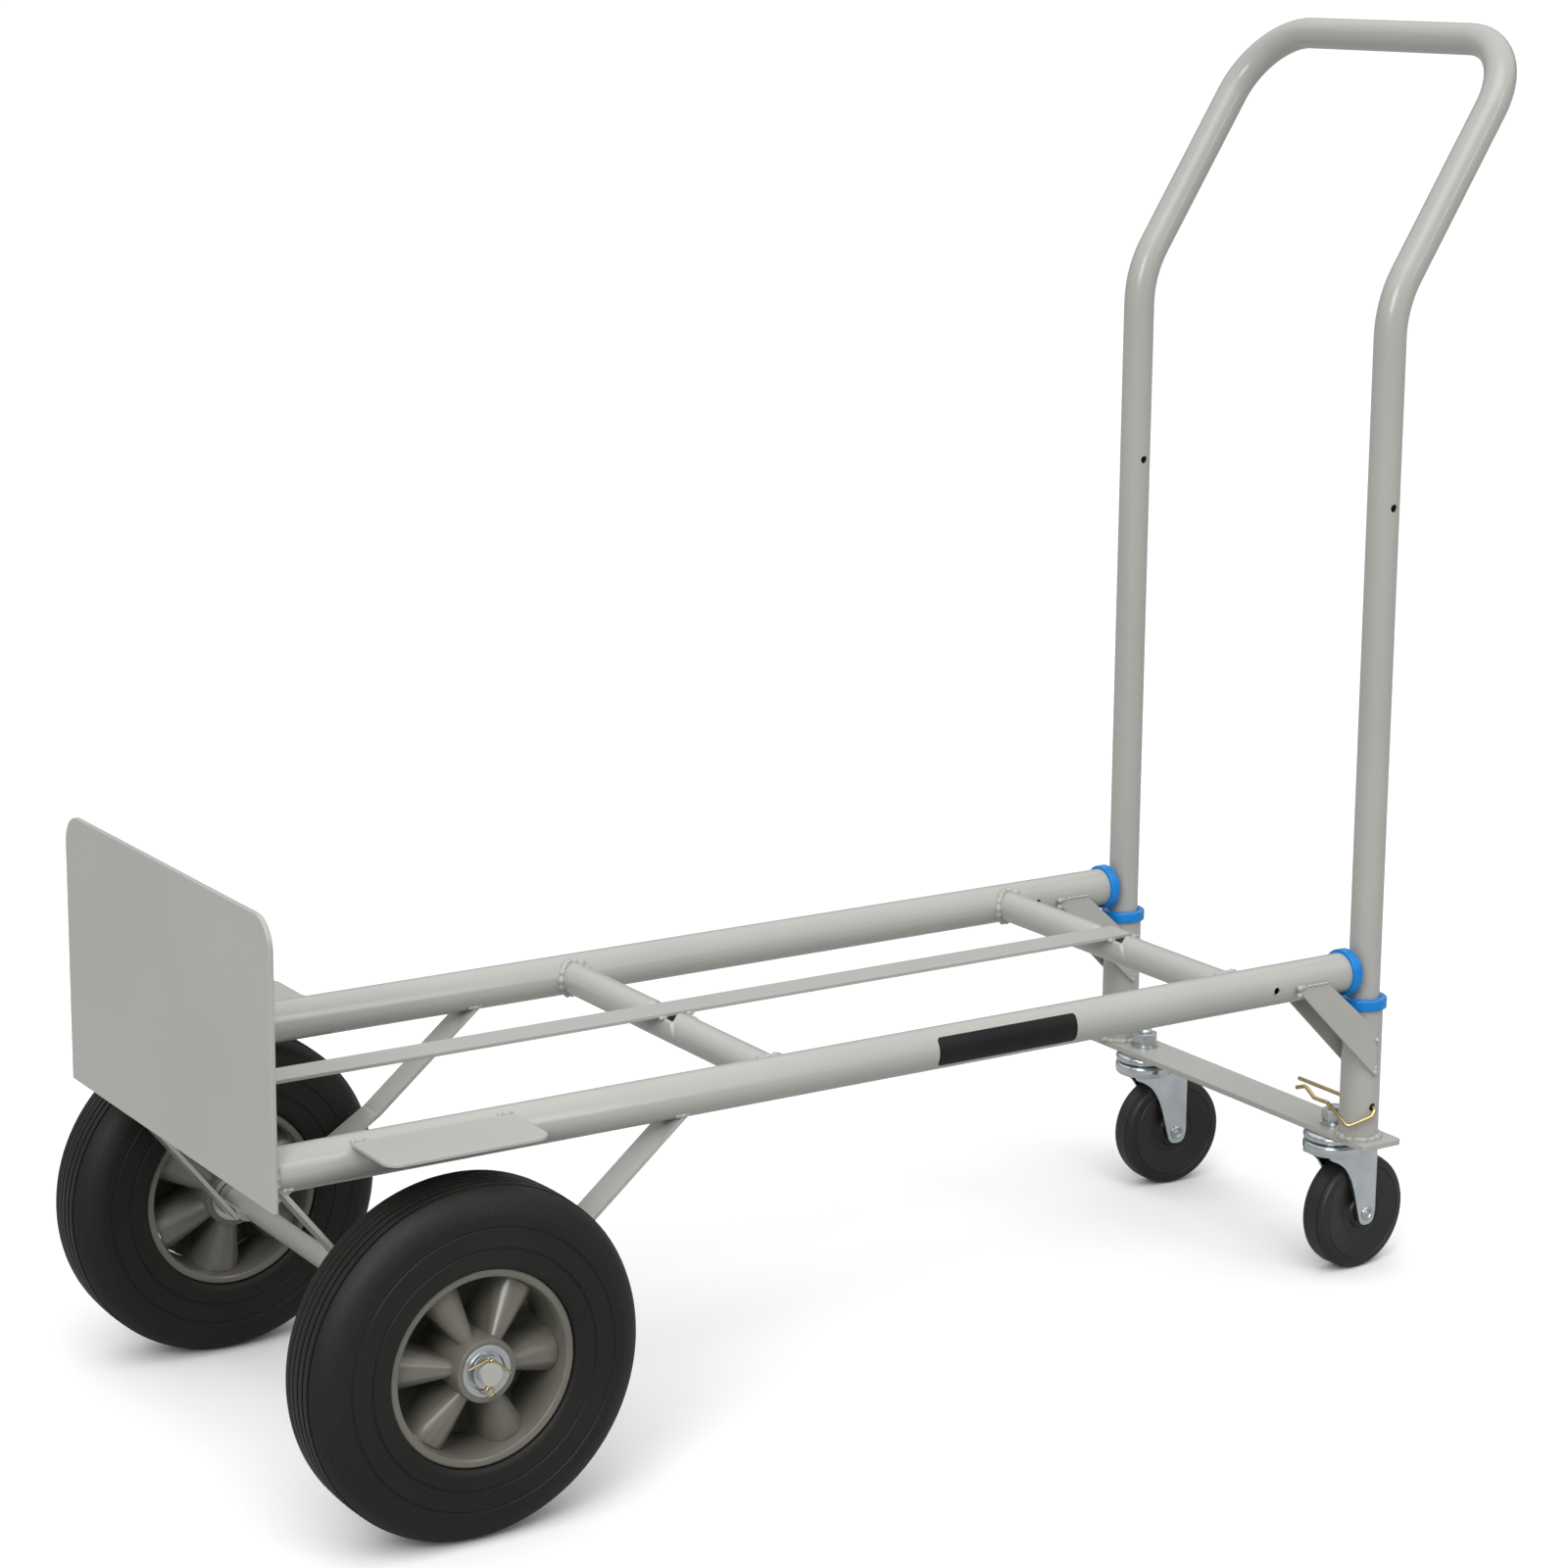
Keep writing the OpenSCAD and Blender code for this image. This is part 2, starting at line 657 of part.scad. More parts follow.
module caster_wheel(side) {
    edge = 3.5;
    half = caster_w / 2;
    color(rubber) on_caster(side) translate([caster_trail, 0, caster_r]) rotate([90, 0, 0])
    rotate_extrude($fn = 120) difference() {
        union() {
            translate([bush_r, -half]) square([caster_r - edge - bush_r, caster_w]);
            translate([bush_r, -half + edge]) square([caster_r - bush_r, caster_w - 2 * edge]);
            for (k = [-1, 1]) translate([caster_r - edge, k * (half - edge)]) circle(edge, $fn = 32);
        }
        for (k = [-1, 1])
            translate([bush_r + 6, k > 0 ? half - 2 : -half - 1]) square([caster_r * 0.42, 3]);
    }
}
module caster_wheel_left() { caster_wheel(left); }
module caster_wheel_right() { caster_wheel(right); }

module caster_bush(side) {
    color(zinc) on_caster(side) translate([caster_trail, 0, caster_r])
        y_ring(-fork_half + part_gap, fork_half - part_gap, caster_bolt_r + running_gap, bush_r);
}
module caster_bush_left() { caster_bush(left); }
module caster_bush_right() { caster_bush(right); }

// ---- handle and lock pin ----

leg_foot_z = bar_top_z + part_gap;

// Path of the handle tube as one rod of radius r, its lower ends made longer by extra
module handle_rod(r, extra) {
    leg_top_z = lean_z - lean_tangent;
    for (s = [left, right]) translate([0, s * side_y, 0]) {
        translate([0, 0, leg_foot_z - extra]) cylinder(h = leg_top_z - leg_foot_z + extra, r = r);
        intersection() {
            translate([lean_r, 0, leg_top_z]) rotate([90, 0, 0]) rotate([0, 0, 90])
                rotate_extrude(angle = 90) translate([lean_r, 0]) circle(r);
            leaned() translate([-2 * lean_r, -lean_r, -3 * lean_r])
                cube([4 * lean_r, 2 * lean_r, 3 * lean_r + lean_tangent]);
        }
    }
    leaned() {
        for (s = [left, right]) {
            translate([0, s * side_y, lean_tangent])
                cylinder(h = lean_l - lean_tangent - grip_corner_r, r = r);
            translate([0, s * (side_y - grip_corner_r), lean_l - grip_corner_r])
                rotate([90, 0, 90]) rotate([0, 0, s > 0 ? 0 : 90])
                    rotate_extrude(angle = 90) translate([grip_corner_r, 0]) circle(r);
        }
        translate([0, 0, lean_l]) y_rod(grip_corner_r - side_y, side_y - grip_corner_r, r);
    }
}
// Frame of the upper handle: origin where the leg and the lean meet, local Z along the lean
module leaned() {
    lean = [[lean_cos, 0, lean_sin, 0], [0, 1, 0, 0], [-lean_sin, 0, lean_cos, 0], [0, 0, 0, 1]];
    translate([0, 0, lean_z]) multmatrix(lean) children();
}

// The legs' open slots let the handle lift straight off the lock pin's level
module handle() {
    $fn = 32;
    color(grey) translate([socket_x, 0, 0]) difference() {
        handle_rod(handle_r, 0);
        handle_rod(handle_r - handle_wall, 1);
        for (s = [left, right]) translate([0, s * side_y, 0]) {
            translate([0, 0, handle_hole_z]) y_rod(-handle_r - 1, handle_r + 1, pin_hole_d / 2);
            translate([0, 0, pin_z]) y_rod(-handle_r - 1, handle_r + 1, pin_hole_d / 2);
            translate([-pin_hole_d / 2, -handle_r - 1, bar_top_z])
                cube([pin_hole_d, handle_d + 2, pin_z - bar_top_z]);
        }
    }
}

// Spring wire lock pin: a straight leg through the socket and an arm that snaps round it
module lock_pin() {
    r = pin_wire_d / 2;
    out = tube_r + 4;
    arm = [
        [0, -out, 0], [-6, -out - 1, -6], [-24, -out + 6, -13], [-25, 10, 1], [-25, 26, 0.5],
        [-24, 38, 7], [-27, 46, 4]
    ];
    color(yellow_zinc) translate([socket_x, left * side_y, pin_z]) {
        y_rod(-out, tube_r + 58, r);
        for (i = [0 : len(arm) - 2]) wire(arm[i], arm[i + 1], r);
    }
}
// Round wire between two points with a ball at the far end
module wire(a, b, r) {
    d = b - a;
    translate(a) {
        sphere(r * 1.01, $fn = 32);
        rotate([0, acos(d[2] / norm(d)), atan2(d[1], d[0])]) cylinder(h = norm(d), r = r);
    }
}

toe_plate();
main_tube_left();
main_tube_right();
cross_tube_middle();
cross_tube_rear();
centre_strap();
socket_tube_left();
socket_tube_right();
gusset_left();
gusset_right();
caster_bar();
axle();
axle_brace_left();
axle_brace_right();
fender_left();
fender_right();
tube_collar_left();
tube_collar_right();
socket_collar_left();
socket_collar_right();
name_plate();
axle_washers();
cotter_pins();
tyre_left();
tyre_right();
hub_left();
hub_right();
wheel_bearings_left();
wheel_bearings_right();
caster_stems();
caster_nuts();
caster_lock_washers();
caster_upper_races();
caster_balls_left();
caster_balls_right();
caster_fork_left();
caster_fork_right();
caster_axle_left();
caster_axle_right();
caster_wheel_left();
caster_wheel_right();
caster_bush_left();
caster_bush_right();
handle();
lock_pin();
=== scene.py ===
# Hand truck standing as a platform cart: looks, floor, light and camera
import json
import math
import bpy
import bmesh
from mathutils import Matrix, Vector


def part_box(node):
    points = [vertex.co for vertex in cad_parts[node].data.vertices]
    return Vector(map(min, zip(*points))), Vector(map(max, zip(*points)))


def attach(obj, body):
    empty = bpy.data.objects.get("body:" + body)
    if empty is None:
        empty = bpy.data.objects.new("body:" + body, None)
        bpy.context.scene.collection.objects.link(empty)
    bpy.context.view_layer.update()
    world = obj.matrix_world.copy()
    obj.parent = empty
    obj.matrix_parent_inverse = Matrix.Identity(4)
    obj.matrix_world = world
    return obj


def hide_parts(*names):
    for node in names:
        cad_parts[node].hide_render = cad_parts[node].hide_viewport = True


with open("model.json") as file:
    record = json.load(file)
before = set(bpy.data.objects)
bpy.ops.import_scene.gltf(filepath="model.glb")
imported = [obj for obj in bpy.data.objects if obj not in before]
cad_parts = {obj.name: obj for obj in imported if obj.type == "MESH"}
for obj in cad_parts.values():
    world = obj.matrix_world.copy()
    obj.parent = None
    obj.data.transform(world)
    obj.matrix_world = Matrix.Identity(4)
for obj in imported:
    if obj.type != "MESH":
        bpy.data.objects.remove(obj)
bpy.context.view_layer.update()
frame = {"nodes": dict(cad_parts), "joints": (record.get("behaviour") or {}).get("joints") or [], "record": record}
print("frame loaded")

mm = 0.001
joints = {j["name"]: j for j in frame["joints"]}
slotOf = {s["node"]: s["material_slot"] for s in frame["record"]["subparts"]}
bodyOf = {n: b for b, names in frame["record"]["behaviour"]["bodies"].items() for n in names}
sides = {"left": -1, "right": 1}


# ---- where things are, from the frame ----

def mid(node):
    low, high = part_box(node)
    return (low + high) / 2


wheelAt = {s: Vector(joints["wheel_spin_" + s]["pos_m"]) for s in sides}
swivelAt = {s: Vector(joints["caster_swivel_" + s]["pos_m"]) for s in sides}
rollAt = {s: Vector(joints["caster_roll_" + s]["pos_m"]) for s in sides}
rollAxis = {s: Vector(joints["caster_roll_" + s]["axis"]) for s in sides}
tubeMid = {s: mid("main_tube_" + s) for s in sides}
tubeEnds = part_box("main_tube_left")[0].x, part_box("main_tube_left")[1].x
tubeR = (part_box("main_tube_left")[1].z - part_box("main_tube_left")[0].z) / 2
socketMid = {s: mid("socket_tube_" + s) for s in sides}
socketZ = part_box("socket_tube_left")[0].z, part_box("socket_tube_left")[1].z


# ---- node groups shared by the finishes ----

def newGroup(name, inputs, outputs):
    group = bpy.data.node_groups.new(name, "ShaderNodeTree")
    for label, kind, value in inputs:
        socket = group.interface.new_socket(label, in_out="INPUT", socket_type=kind)
        if value is not None:
            socket.default_value = value
    for label, kind in outputs:
        group.interface.new_socket(label, in_out="OUTPUT", socket_type=kind)
    return group, group.nodes.new("NodeGroupInput"), group.nodes.new("NodeGroupOutput")


def addNode(tree, kind, **values):
    node = tree.nodes.new(kind)
    for key, value in values.items():
        if key in node.inputs:
            node.inputs[key].default_value = value
        else:
            setattr(node, key, value)
    return node


def mathNode(tree, operation, a, b, clamp=False):
    node = addNode(tree, "ShaderNodeMath", operation=operation, use_clamp=clamp)
    for i, v in enumerate((a, b)):
        if isinstance(v, (int, float)):
            node.inputs[i].default_value = v
        else:
            tree.links.new(v, node.inputs[i])
    return node.outputs[0]


def buildGrain():   # fine surface relief: a close grain over a slow ripple
    group, gIn, gOut = newGroup("fineGrain", [
        ("Vector", "NodeSocketVector", None), ("Grain Scale", "NodeSocketFloat", 900.0),
        ("Ripple Scale", "NodeSocketFloat", 90.0), ("Ripple Share", "NodeSocketFloat", 0.3)],
        [("Height", "NodeSocketFloat")])
    fine = addNode(group, "ShaderNodeTexNoise", Detail=3.0, Roughness=0.6)
    slow = addNode(group, "ShaderNodeTexNoise", Detail=1.0, Roughness=0.4)
    for node, scale in ((fine, "Grain Scale"), (slow, "Ripple Scale")):
        group.links.new(gIn.outputs["Vector"], node.inputs["Vector"])
        group.links.new(gIn.outputs[scale], node.inputs["Scale"])
    mix = addNode(group, "ShaderNodeMix", data_type="FLOAT")
    group.links.new(gIn.outputs["Ripple Share"], mix.inputs[0])
    group.links.new(fine.outputs["Fac"], mix.inputs[2])
    group.links.new(slow.outputs["Fac"], mix.inputs[3])
    group.links.new(mix.outputs[0], gOut.inputs["Height"])
    return group


def buildTone():    # slow drift between two tones, with fine flecks of a third
    group, gIn, gOut = newGroup("toneDrift", [
        ("Vector", "NodeSocketVector", None), ("Base", "NodeSocketColor", (0.5, 0.5, 0.5, 1)),
        ("Drift", "NodeSocketColor", (0.4, 0.4, 0.4, 1)), ("Fleck", "NodeSocketColor", (0.6, 0.6, 0.6, 1)),
        ("Drift Scale", "NodeSocketFloat", 12.0), ("Fleck Scale", "NodeSocketFloat", 1500.0),
        ("Fleck Amount", "NodeSocketFloat", 0.2)], [("Color", "NodeSocketColor")])
    slow = addNode(group, "ShaderNodeTexNoise", Detail=2.0, Roughness=0.5)
    flecks = addNode(group, "ShaderNodeTexNoise", Detail=1.0)
    for node, scale in ((slow, "Drift Scale"), (flecks, "Fleck Scale")):
        group.links.new(gIn.outputs["Vector"], node.inputs["Vector"])
        group.links.new(gIn.outputs[scale], node.inputs["Scale"])
    spread = addNode(group, "ShaderNodeMapRange", **{"From Min": 0.35, "From Max": 0.65})
    group.links.new(slow.outputs["Fac"], spread.inputs["Value"])
    drift = addNode(group, "ShaderNodeMix", data_type="RGBA")
    group.links.new(spread.outputs[0], drift.inputs[0])
    group.links.new(gIn.outputs["Base"], drift.inputs[6])
    group.links.new(gIn.outputs["Drift"], drift.inputs[7])
    bright = addNode(group, "ShaderNodeMapRange", **{"From Min": 0.62, "From Max": 0.75})
    group.links.new(flecks.outputs["Fac"], bright.inputs["Value"])
    amount = mathNode(group, "MULTIPLY", bright.outputs[0], gIn.outputs["Fleck Amount"])
    top = addNode(group, "ShaderNodeMix", data_type="RGBA")
    group.links.new(amount, top.inputs[0])
    group.links.new(drift.outputs[2], top.inputs[6])
    group.links.new(gIn.outputs["Fleck"], top.inputs[7])
    group.links.new(top.outputs[2], gOut.inputs["Color"])
    return group


def buildRub():     # uneven polish: soft smudges in the gloss
    group, gIn, gOut = newGroup("rubMarks", [
        ("Vector", "NodeSocketVector", None), ("Roughness", "NodeSocketFloat", 0.3),
        ("Spread", "NodeSocketFloat", 0.1), ("Scale", "NodeSocketFloat", 25.0)],
        [("Roughness", "NodeSocketFloat")])
    noise = addNode(group, "ShaderNodeTexNoise", Detail=5.0, Roughness=0.65)
    group.links.new(gIn.outputs["Vector"], noise.inputs["Vector"])
    group.links.new(gIn.outputs["Scale"], noise.inputs["Scale"])
    centred = mathNode(group, "SUBTRACT", noise.outputs["Fac"], 0.5)
    scaled = mathNode(group, "MULTIPLY", centred, gIn.outputs["Spread"])
    total = mathNode(group, "ADD", scaled, gIn.outputs["Roughness"], clamp=True)
    group.links.new(total, gOut.inputs["Roughness"])
    return group


groups = {"grain": buildGrain(), "tone": buildTone(), "rub": buildRub()}


# ---- finishes ----

def newFinish(name, look):
    material = bpy.data.materials.new(name)
    material.use_nodes = True
    tree = material.node_tree
    shader = tree.nodes["Principled BSDF"]
    coords = addNode(tree, "ShaderNodeTexCoord").outputs["Object"]
    placed = {}
    for key, group in groups.items():
        node = addNode(tree, "ShaderNodeGroup", node_tree=group)
        tree.links.new(coords, node.inputs["Vector"])
        placed[key] = node
    tone, rub, grain = placed["tone"], placed["rub"], placed["grain"]
    for key in ("Base", "Drift", "Fleck"):
        tone.inputs[key].default_value = (*look[key.lower()], 1)
    for node, label, key in (
            (tone, "Drift Scale", "driftScale"), (tone, "Fleck Scale", "fleckScale"),
            (tone, "Fleck Amount", "fleckAmount"), (rub, "Roughness", "roughness"), (rub, "Spread", "spread"),
            (rub, "Scale", "rubScale"), (grain, "Grain Scale", "grainScale"),
            (grain, "Ripple Scale", "rippleScale"), (grain, "Ripple Share", "rippleShare")):
        if key in look:
            node.inputs[label].default_value = look[key]
    tree.links.new(tone.outputs["Color"], shader.inputs["Base Color"])
    tree.links.new(rub.outputs["Roughness"], shader.inputs["Roughness"])
    bump = addNode(tree, "ShaderNodeBump", Strength=look["bumpStrength"], Distance=look["bumpDepth"])
    height = grain.outputs["Height"]
    if look.get("zone"):    # relief only where the piece's own attribute says so
        zone = addNode(tree, "ShaderNodeAttribute", attribute_name=look["zone"])
        height = mathNode(tree, "MULTIPLY", height, zone.outputs["Fac"])
    tree.links.new(height, bump.inputs["Height"])
    tree.links.new(bump.outputs["Normal"], shader.inputs["Normal"])
    for key, value in look["shader"].items():
        shader.inputs[key].default_value = value
    return material


finishLooks = {
    "grey_paint": dict(
        base=(0.41, 0.408, 0.376), drift=(0.386, 0.386, 0.357), fleck=(0.455, 0.455, 0.42), driftScale=7.0,
        fleckScale=900.0, fleckAmount=0.15, roughness=0.3, spread=0.1, rubScale=18.0, grainScale=420.0,
        rippleScale=120.0, rippleShare=0.45, bumpStrength=0.25, bumpDepth=0.00012,
        shader={"Coat Weight": 0.35, "Coat Roughness": 0.12, "Specular IOR Level": 0.5}),
    "tyre_rubber": dict(
        base=(0.0105, 0.0098, 0.008), drift=(0.0075, 0.007, 0.0055), fleck=(0.05, 0.05, 0.046),
        driftScale=9.0, fleckScale=1400.0, fleckAmount=0.45, roughness=0.5, spread=0.16, rubScale=30.0,
        grainScale=1300.0, rippleScale=260.0, rippleShare=0.25, bumpStrength=0.55, bumpDepth=0.0005,
        zone="grainZone",
        shader={"Specular IOR Level": 0.3}),
    "hub_plastic": dict(
        base=(0.15, 0.143, 0.118), drift=(0.128, 0.122, 0.102), fleck=(0.19, 0.182, 0.155), driftScale=20.0,
        fleckScale=1100.0, fleckAmount=0.12, roughness=0.24, spread=0.14, rubScale=40.0, grainScale=700.0,
        rippleScale=110.0, rippleShare=0.5, bumpStrength=0.15, bumpDepth=0.00006,
        shader={"Specular IOR Level": 0.6}),
    "caster_rubber": dict(
        base=(0.0175, 0.0165, 0.015), drift=(0.013, 0.0125, 0.0115), fleck=(0.04, 0.038, 0.035),
        driftScale=30.0, fleckScale=1500.0, fleckAmount=0.15, roughness=0.42, spread=0.16, rubScale=45.0,
        grainScale=1600.0, rippleScale=200.0, rippleShare=0.35, bumpStrength=0.2, bumpDepth=0.0001,
        shader={"Specular IOR Level": 0.45}),
    "collar_plastic": dict(
        base=(0.0, 0.21, 0.62), drift=(0.0, 0.19, 0.57), fleck=(0.01, 0.25, 0.7), driftScale=30.0,
        fleckScale=700.0, fleckAmount=0.15, roughness=0.26, spread=0.12, rubScale=60.0, grainScale=500.0,
        rippleScale=150.0, rippleShare=0.6, bumpStrength=0.2, bumpDepth=0.0001,
        shader={"Coat Weight": 0.15, "Coat Roughness": 0.1, "Specular IOR Level": 0.35}),
    "label_film": dict(
        base=(0.010, 0.009, 0.010), drift=(0.013, 0.012, 0.013), fleck=(0.02, 0.02, 0.02), driftScale=40.0,
        fleckScale=2500.0, fleckAmount=0.2, roughness=0.4, spread=0.08, grainScale=1500.0,
        bumpStrength=0.12, bumpDepth=0.00005, shader={"Specular IOR Level": 0.18}),
    "yellow_zinc": dict(
        base=(0.60, 0.49, 0.24), drift=(0.56, 0.41, 0.23), fleck=(0.45, 0.50, 0.30), driftScale=120.0,
        fleckScale=420.0, fleckAmount=0.6, roughness=0.24, spread=0.18, rubScale=140.0, grainScale=1500.0,
        rippleScale=300.0, bumpStrength=0.12, bumpDepth=0.00002, shader={"Metallic": 1.0}),
    "bright_zinc": dict(
        base=(0.70, 0.735, 0.76), drift=(0.60, 0.645, 0.68), fleck=(0.85, 0.86, 0.87), driftScale=45.0,
        fleckScale=900.0, fleckAmount=0.25, roughness=0.2, spread=0.14, rubScale=80.0, grainScale=600.0,
        rippleScale=140.0, rippleShare=0.6, bumpStrength=0.14, bumpDepth=0.00004, shader={"Metallic": 1.0}),
    "steel_fittings": dict(
        base=(0.60, 0.63, 0.64), drift=(0.53, 0.56, 0.575), fleck=(0.72, 0.73, 0.73), driftScale=70.0,
        fleckScale=1300.0, fleckAmount=0.15, roughness=0.3, spread=0.08, rubScale=110.0, grainScale=900.0,
        rippleScale=200.0, bumpStrength=0.08, bumpDepth=0.00001, shader={"Metallic": 1.0}),
}
finishes = {name: newFinish(name, look) for name, look in finishLooks.items()}

for nodeName, node in frame["nodes"].items():
    node.data.materials.clear()
    node.data.materials.append(finishes[slotOf[nodeName]])
print("finishes made")


# ---- mesh helpers ----

def finishPiece(name, bm, body, slotName, sharp=38, crisp=False):
    mesh = bpy.data.meshes.new(name)
    bm.to_mesh(mesh)
    bm.free()
    mesh.polygons.foreach_set("use_smooth", [True] * len(mesh.polygons))
    mesh.set_sharp_from_angle(angle=math.radians(sharp))
    piece = bpy.data.objects.new(name, mesh)
    bpy.context.scene.collection.objects.link(piece)
    mesh.materials.append(finishes[slotName])
    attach(piece, body)
    if crisp:   # flats stay flat beside their rounded edges
        crispness = piece.modifiers.new("crisp", "WEIGHTED_NORMAL")
        crispness.keep_sharp = True
    return piece


def standFor(piece, *nodes):
    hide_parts(*nodes)
    return piece


def roundCorners(bm, ring, points, segments):   # each flat corner by the round its outline gives
    for size in sorted({p[2] for p in points if p[2] > 0}):
        corners = [v for v, p in zip(ring, points) if p[2] == size]
        bmesh.ops.bevel(bm, geom=corners, offset=size * mm, offset_type="OFFSET", segments=segments,
                        profile=0.5, affect="VERTICES", material=-1)


def roundEdges(bm, edges, width, segments=2):
    bmesh.ops.bevel(bm, geom=edges, offset=width * mm, offset_type="OFFSET", segments=segments,
                    profile=0.5, affect="EDGES", clamp_overlap=True, material=-1)


def sharpEdges(bm, angle):
    return [e for e in bm.edges if len(e.link_faces) == 2 and e.calc_face_angle(0) > math.radians(angle)]


def cutAcross(bm, at, normal):
    bmesh.ops.bisect_plane(bm, geom=bm.verts[:] + bm.edges[:] + bm.faces[:], plane_co=at, plane_no=normal)


def thicken(bm, thick):     # a flat sheet given its thickness towards -Y
    made = bmesh.ops.extrude_face_region(bm, geom=bm.faces[:])["geom"]
    verts = [g for g in made if isinstance(g, bmesh.types.BMVert)]
    bmesh.ops.translate(bm, verts=verts, vec=(0, -thick * mm, 0))


def turned(points, steps=96, bm=None, at=Matrix()):
    # closed outline of (radius, height, corner round) in mm, spun about Z
    part = bmesh.new()
    ring = [part.verts.new((r * mm, 0, h * mm)) for r, h, _ in points]
    part.faces.new(ring)
    roundCorners(part, ring, points, 4)
    bmesh.ops.delete(part, geom=part.faces[:], context="FACES_ONLY")
    onAxis = [e for e in part.edges if all(v.co.x < 1e-7 for v in e.verts)]
    bmesh.ops.delete(part, geom=onAxis, context="EDGES")
    bmesh.ops.spin(part, geom=part.verts[:] + part.edges[:], cent=(0, 0, 0), axis=(0, 0, 1),
                   angle=2 * math.pi, steps=steps, use_merge=True)
    bmesh.ops.remove_doubles(part, verts=part.verts[:], dist=1e-6)
    bmesh.ops.recalc_face_normals(part, faces=part.faces[:])
    bmesh.ops.transform(part, matrix=at, verts=part.verts[:])
    return joinInto(bm, part)


def joinInto(bm, part):
    if bm is None:
        return part
    scrap = bpy.data.meshes.new("scrap")
    part.to_mesh(scrap)
    part.free()
    bm.from_mesh(scrap)
    bpy.data.meshes.remove(scrap)
    return bm


def facing(direction, at):
    # local Z along the direction, at a point
    turn = Vector((0, 0, 1)).rotation_difference(Vector(direction))
    return Matrix.Translation(at) @ turn.to_matrix().to_4x4()


def softEdged(node, width):
    # copy of a frame part with its hard edges rounded
    bm = bmesh.new()
    bm.from_mesh(frame["nodes"][node].data)
    bmesh.ops.remove_doubles(bm, verts=bm.verts[:], dist=2e-6)
    bmesh.ops.dissolve_limit(bm, angle_limit=math.radians(0.6), verts=bm.verts[:], edges=bm.edges[:])
    roundEdges(bm, sharpEdges(bm, 28), width)
    piece = finishPiece(node + ".soft", bm, bodyOf[node], slotOf[node], sharp=50, crisp=True)
    return standFor(piece, node)


def rounded(points, radius, steps=6):
    # path with its corners turned into true arcs, in metres
    path = [Vector(points[0])]
    for a, b, c in zip(points, points[1:], points[2:]):
        a, b, c = Vector(a), Vector(b), Vector(c)
        into, out = (a - b).normalized(), (c - b).normalized()
        half = into.angle(out) / 2
        reach = min(radius / math.tan(half), 0.48 * (a - b).length, 0.48 * (c - b).length)
        centre = b + (into + out).normalized() * (reach / math.cos(half))
        axis = into.cross(out).normalized()
        arm = b + into * reach - centre
        for i in range(steps + 1):
            path.append(centre + Matrix.Rotation((2 * half - math.pi) * i / steps, 3, axis) @ arm)
    path.append(Vector(points[-1]))
    return path


def pipeAlong(path, radius, bm=None, ringSides=14, radii=None, closed=False):
    # round bar swept along a path, one extruded ring at a time
    part = bmesh.new()
    count = len(path)
    radii = radii or [radius] * count

    def heading(i):
        if closed:
            return (path[(i + 1) % count] - path[i - 1]).normalized()
        return (path[min(i + 1, count - 1)] - path[max(i - 1, 0)]).normalized()

    normal = heading(0)
    bmesh.ops.create_circle(part, cap_ends=False, radius=radii[0], segments=ringSides,
                            matrix=facing(normal, path[0]))
    ring = part.edges[:]
    firstRing = ring
    for i in range(1, count):
        made = bmesh.ops.extrude_edge_only(part, edges=ring)["geom"]
        ring = [g for g in made if isinstance(g, bmesh.types.BMEdge)]
        verts = [g for g in made if isinstance(g, bmesh.types.BMVert)]
        turn = normal.rotation_difference(heading(i)).to_matrix().to_4x4()
        move = Matrix.Translation(path[i]) @ turn @ Matrix.Scale(radii[i] / radii[i - 1], 4) \
            @ Matrix.Translation(-path[i - 1])
        bmesh.ops.transform(part, matrix=move, verts=verts)
        normal = heading(i)
    if closed:
        bmesh.ops.bridge_loops(part, edges=list(ring) + list(firstRing))
    else:
        bmesh.ops.edgeloop_fill(part, edges=ring)
        bmesh.ops.edgeloop_fill(part, edges=firstRing)
    bmesh.ops.recalc_face_normals(part, faces=part.faces[:])
    return joinInto(bm, part)


# ---- main wheels ----

tyreLook = {"outer": 127.0, "bead": 70.7, "seat": 24.5, "treadHalf": 16.5, "ribs": 5, "groove": 1.3,
            "grooveDepth": 2.2, "grainFrom": 103, "grainTo": 126, "grainFree": 0.12}


